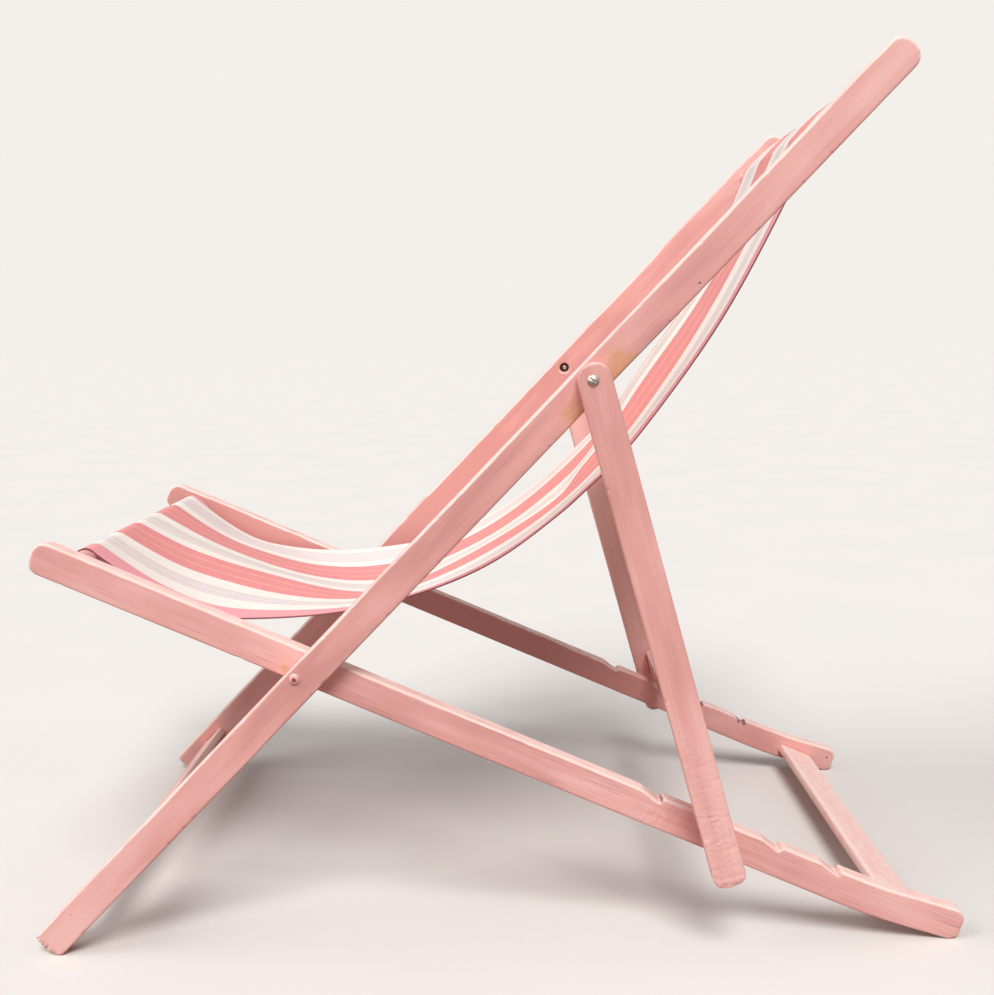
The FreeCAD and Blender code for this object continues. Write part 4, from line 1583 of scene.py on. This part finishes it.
        # Where the painted pink bounce light lies, on the back of the sling
        along = flat[..., 1].ravel() - flat[free.start, 0, 1]
        painted_pink_bounce = eased(along, *self.pink_bounce_from) * faded(along, *self.pink_bounce_to)
        add_attribute(mesh, "painted_pink_bounce", painted_pink_bounce)
        mesh.materials.append(self.cloth.material(self.flat_width()))
        mesh.shade_smooth()
        piece = add_object("sling_canvas", mesh)
        thick = piece.modifiers.new("thickness", "SOLIDIFY")
        thick.thickness = self.thickness * MM
        thick.offset = 0.0
        evaluated = piece.evaluated_get(bpy.context.evaluated_depsgraph_get())
        solid = bpy.data.meshes.new_from_object(evaluated)
        piece.modifiers.clear()
        piece.data = solid
        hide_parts("sling")
        start = self.layout.seat_place(*self.front_bar_centre) * MM
        end = self.layout.back_place(self.top_bar_start, self.top_bar_face) * MM
        start = start + (end - start) * self.blend_start
        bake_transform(piece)
        log.info("%s: %.0f x %.0f mm of cloth", piece.name, self.flat_width(), flat[..., 1].max())


@dataclass(frozen=True)
class SoftLamp:
    """Large soft lamp, far enough away to light the whole chair alike.

    Height is its angle above the floor, and side its angle from the chair's left to the front.
    """

    name: str
    strength: float
    height: float
    side: float
    softness: float
    distance: float = 4.0

    def hang(self) -> None:
        """Hang the lamp and turn it to the chair."""
        light = bpy.data.lights.new(self.name, "SUN")
        light.energy = self.strength
        light.angle = math.radians(self.softness)
        holder = add_object(self.name, light)
        rise = math.radians(self.height)
        turn = math.radians(self.side)
        flat = (-math.sin(turn) * math.cos(rise), -math.cos(turn) * math.cos(rise))
        place = Vector((*flat, math.sin(rise)))
        holder.rotation_mode = "QUATERNION"
        holder.rotation_quaternion = (-place).to_track_quat("-Z", "Y")
        holder.location = place * self.distance


@dataclass
class Studio:
    """Plain pale floor under pale air, two soft lamps and the camera."""

    floor_colour: str = "#E3DFDB"
    floor_warm: str = "#E6E1DD"
    floor_bounce: str = "#A08A82"
    floor_reach: float = 60.0
    paper_tooth: float = 333.3333
    air_colour: str = "#F3EFEA"
    fill_strength: float = 0.30
    camera_place: Triple = (11.19, -1480.78, 669.32)
    camera_right: Triple = (0.99990225, 0.00790476, -0.01153305)
    camera_up: Triple = (0.01036497, 0.13455072, 0.9908525)
    camera_ahead: Triple = (-0.00938424, 0.99087518, -0.13445564)
    sensor_width: float = 36.0
    focal_length: float = 41.6499
    lamps: tuple[SoftLamp, ...] = (
        SoftLamp("key_lamp", 2.4, 53.0, -6.0, 26.0),
        SoftLamp("front_lamp", 1.35, 35.0, 75.0, 40.0),
    )

    def floor(self) -> None:
        """Lay the floor, which looks paler to the camera than the light it throws back up."""
        half = self.floor_reach
        mesh = bpy.data.meshes.new("studio_floor")
        corners = [(-half, -half, 0.0), (half, -half, 0.0), (half, half, 0.0), (-half, half, 0.0)]
        mesh.from_pydata(corners, [], [(0, 1, 2, 3)])
        graph = Graph.start("studio_paper")
        tree = graph.tree
        place = add_node(tree, "ShaderNodeTexCoord", {}, {}).outputs["Object"]
        tooth = graph.spots(place, (self.paper_tooth,) * 3)
        ramp = add_node(tree, "ShaderNodeValToRGB", {}, {"Fac": tooth})
        shades = list(zip(NOISE_SPAN, (self.floor_colour, self.floor_warm)))
        paper = fill_ramp(ramp, shades, "LINEAR")
        seen = add_node(tree, "ShaderNodeBsdfDiffuse", {}, {"Color": paper})
        thrown = add_node(tree, "ShaderNodeBsdfDiffuse", {"Color": linear(self.floor_bounce)}, {})
        path = add_node(tree, "ShaderNodeLightPath", {}, {})
        links = {0: path.outputs["Is Camera Ray"], 1: thrown.outputs[0], 2: seen.outputs[0]}
        shown = add_node(tree, "ShaderNodeMixShader", {}, links)
        output = next(n for n in tree.nodes if n.type == "OUTPUT_MATERIAL")
        tree.links.new(shown.outputs[0], output.inputs["Surface"])
        tree.nodes.remove(graph.shader)
        mesh.materials.append(graph.material)
        add_object("studio_floor", mesh)

    def air(self) -> None:
        """Light the room evenly, and show the camera the same pale colour as the floor."""
        world = bpy.data.worlds.new("studio_air")
        world.use_nodes = True
        tree = world.node_tree
        sky = next(n for n in tree.nodes if n.type == "BACKGROUND")
        sky.inputs["Color"].default_value = linear("#FFFFFF")
        sky.inputs["Strength"].default_value = self.fill_strength
        output = next(n for n in tree.nodes if n.type == "OUTPUT_WORLD")
        seen = add_node(tree, "ShaderNodeBackground", {"Color": linear(self.air_colour)}, {})
        path = add_node(tree, "ShaderNodeLightPath", {}, {})
        links = {0: path.outputs["Is Camera Ray"], 1: path.outputs["Is Glossy Ray"]}
        mirrored = add_node(tree, "ShaderNodeMath", {"operation": "MAXIMUM"}, links).outputs[0]
        links = {0: mirrored, 1: sky.outputs[0], 2: seen.outputs[0]}
        room = add_node(tree, "ShaderNodeMixShader", {}, links)
        tree.links.new(room.outputs[0], output.inputs["Surface"])
        bpy.context.scene.world = world

    def camera(self) -> None:
        """Set the camera at the photograph's viewing angle."""
        lens = bpy.data.cameras.new("camera")
        lens.sensor_fit = "HORIZONTAL"
        lens.sensor_width = self.sensor_width
        lens.lens = self.focal_length
        holder = add_object("camera", lens)
        behind = [-v for v in self.camera_ahead]
        turn = Matrix((self.camera_right, self.camera_up, behind)).transposed()
        place = Matrix.Translation(Vector(self.camera_place) * MM)
        holder.matrix_world = place @ turn.to_4x4()
        bpy.context.scene.camera = holder

    def build(self) -> None:
        """Make the whole studio."""
        self.floor()
        for lamp in self.lamps:
            lamp.hang()
        self.air()
        bpy.context.scene.view_settings.view_transform = "Standard"
        self.camera()


def main() -> None:
    """Build the chair from its frames up, then the studio."""
    logging.basicConfig(level=logging.INFO, format="%(name)s %(message)s")
    layout = Layout(middle_of("lower_pivot_bolts"), middle_of("upper_pivot_bolts"))
    paint = PaintedWood().material()
    BackFrame(layout).build(paint)
    SeatFrame(layout).build(paint)
    PropFrame(layout).build(paint)
    Hardware(layout).build(paint)
    Sling(layout).build()
    Studio().build()


if __name__ == "__main__":
    main()
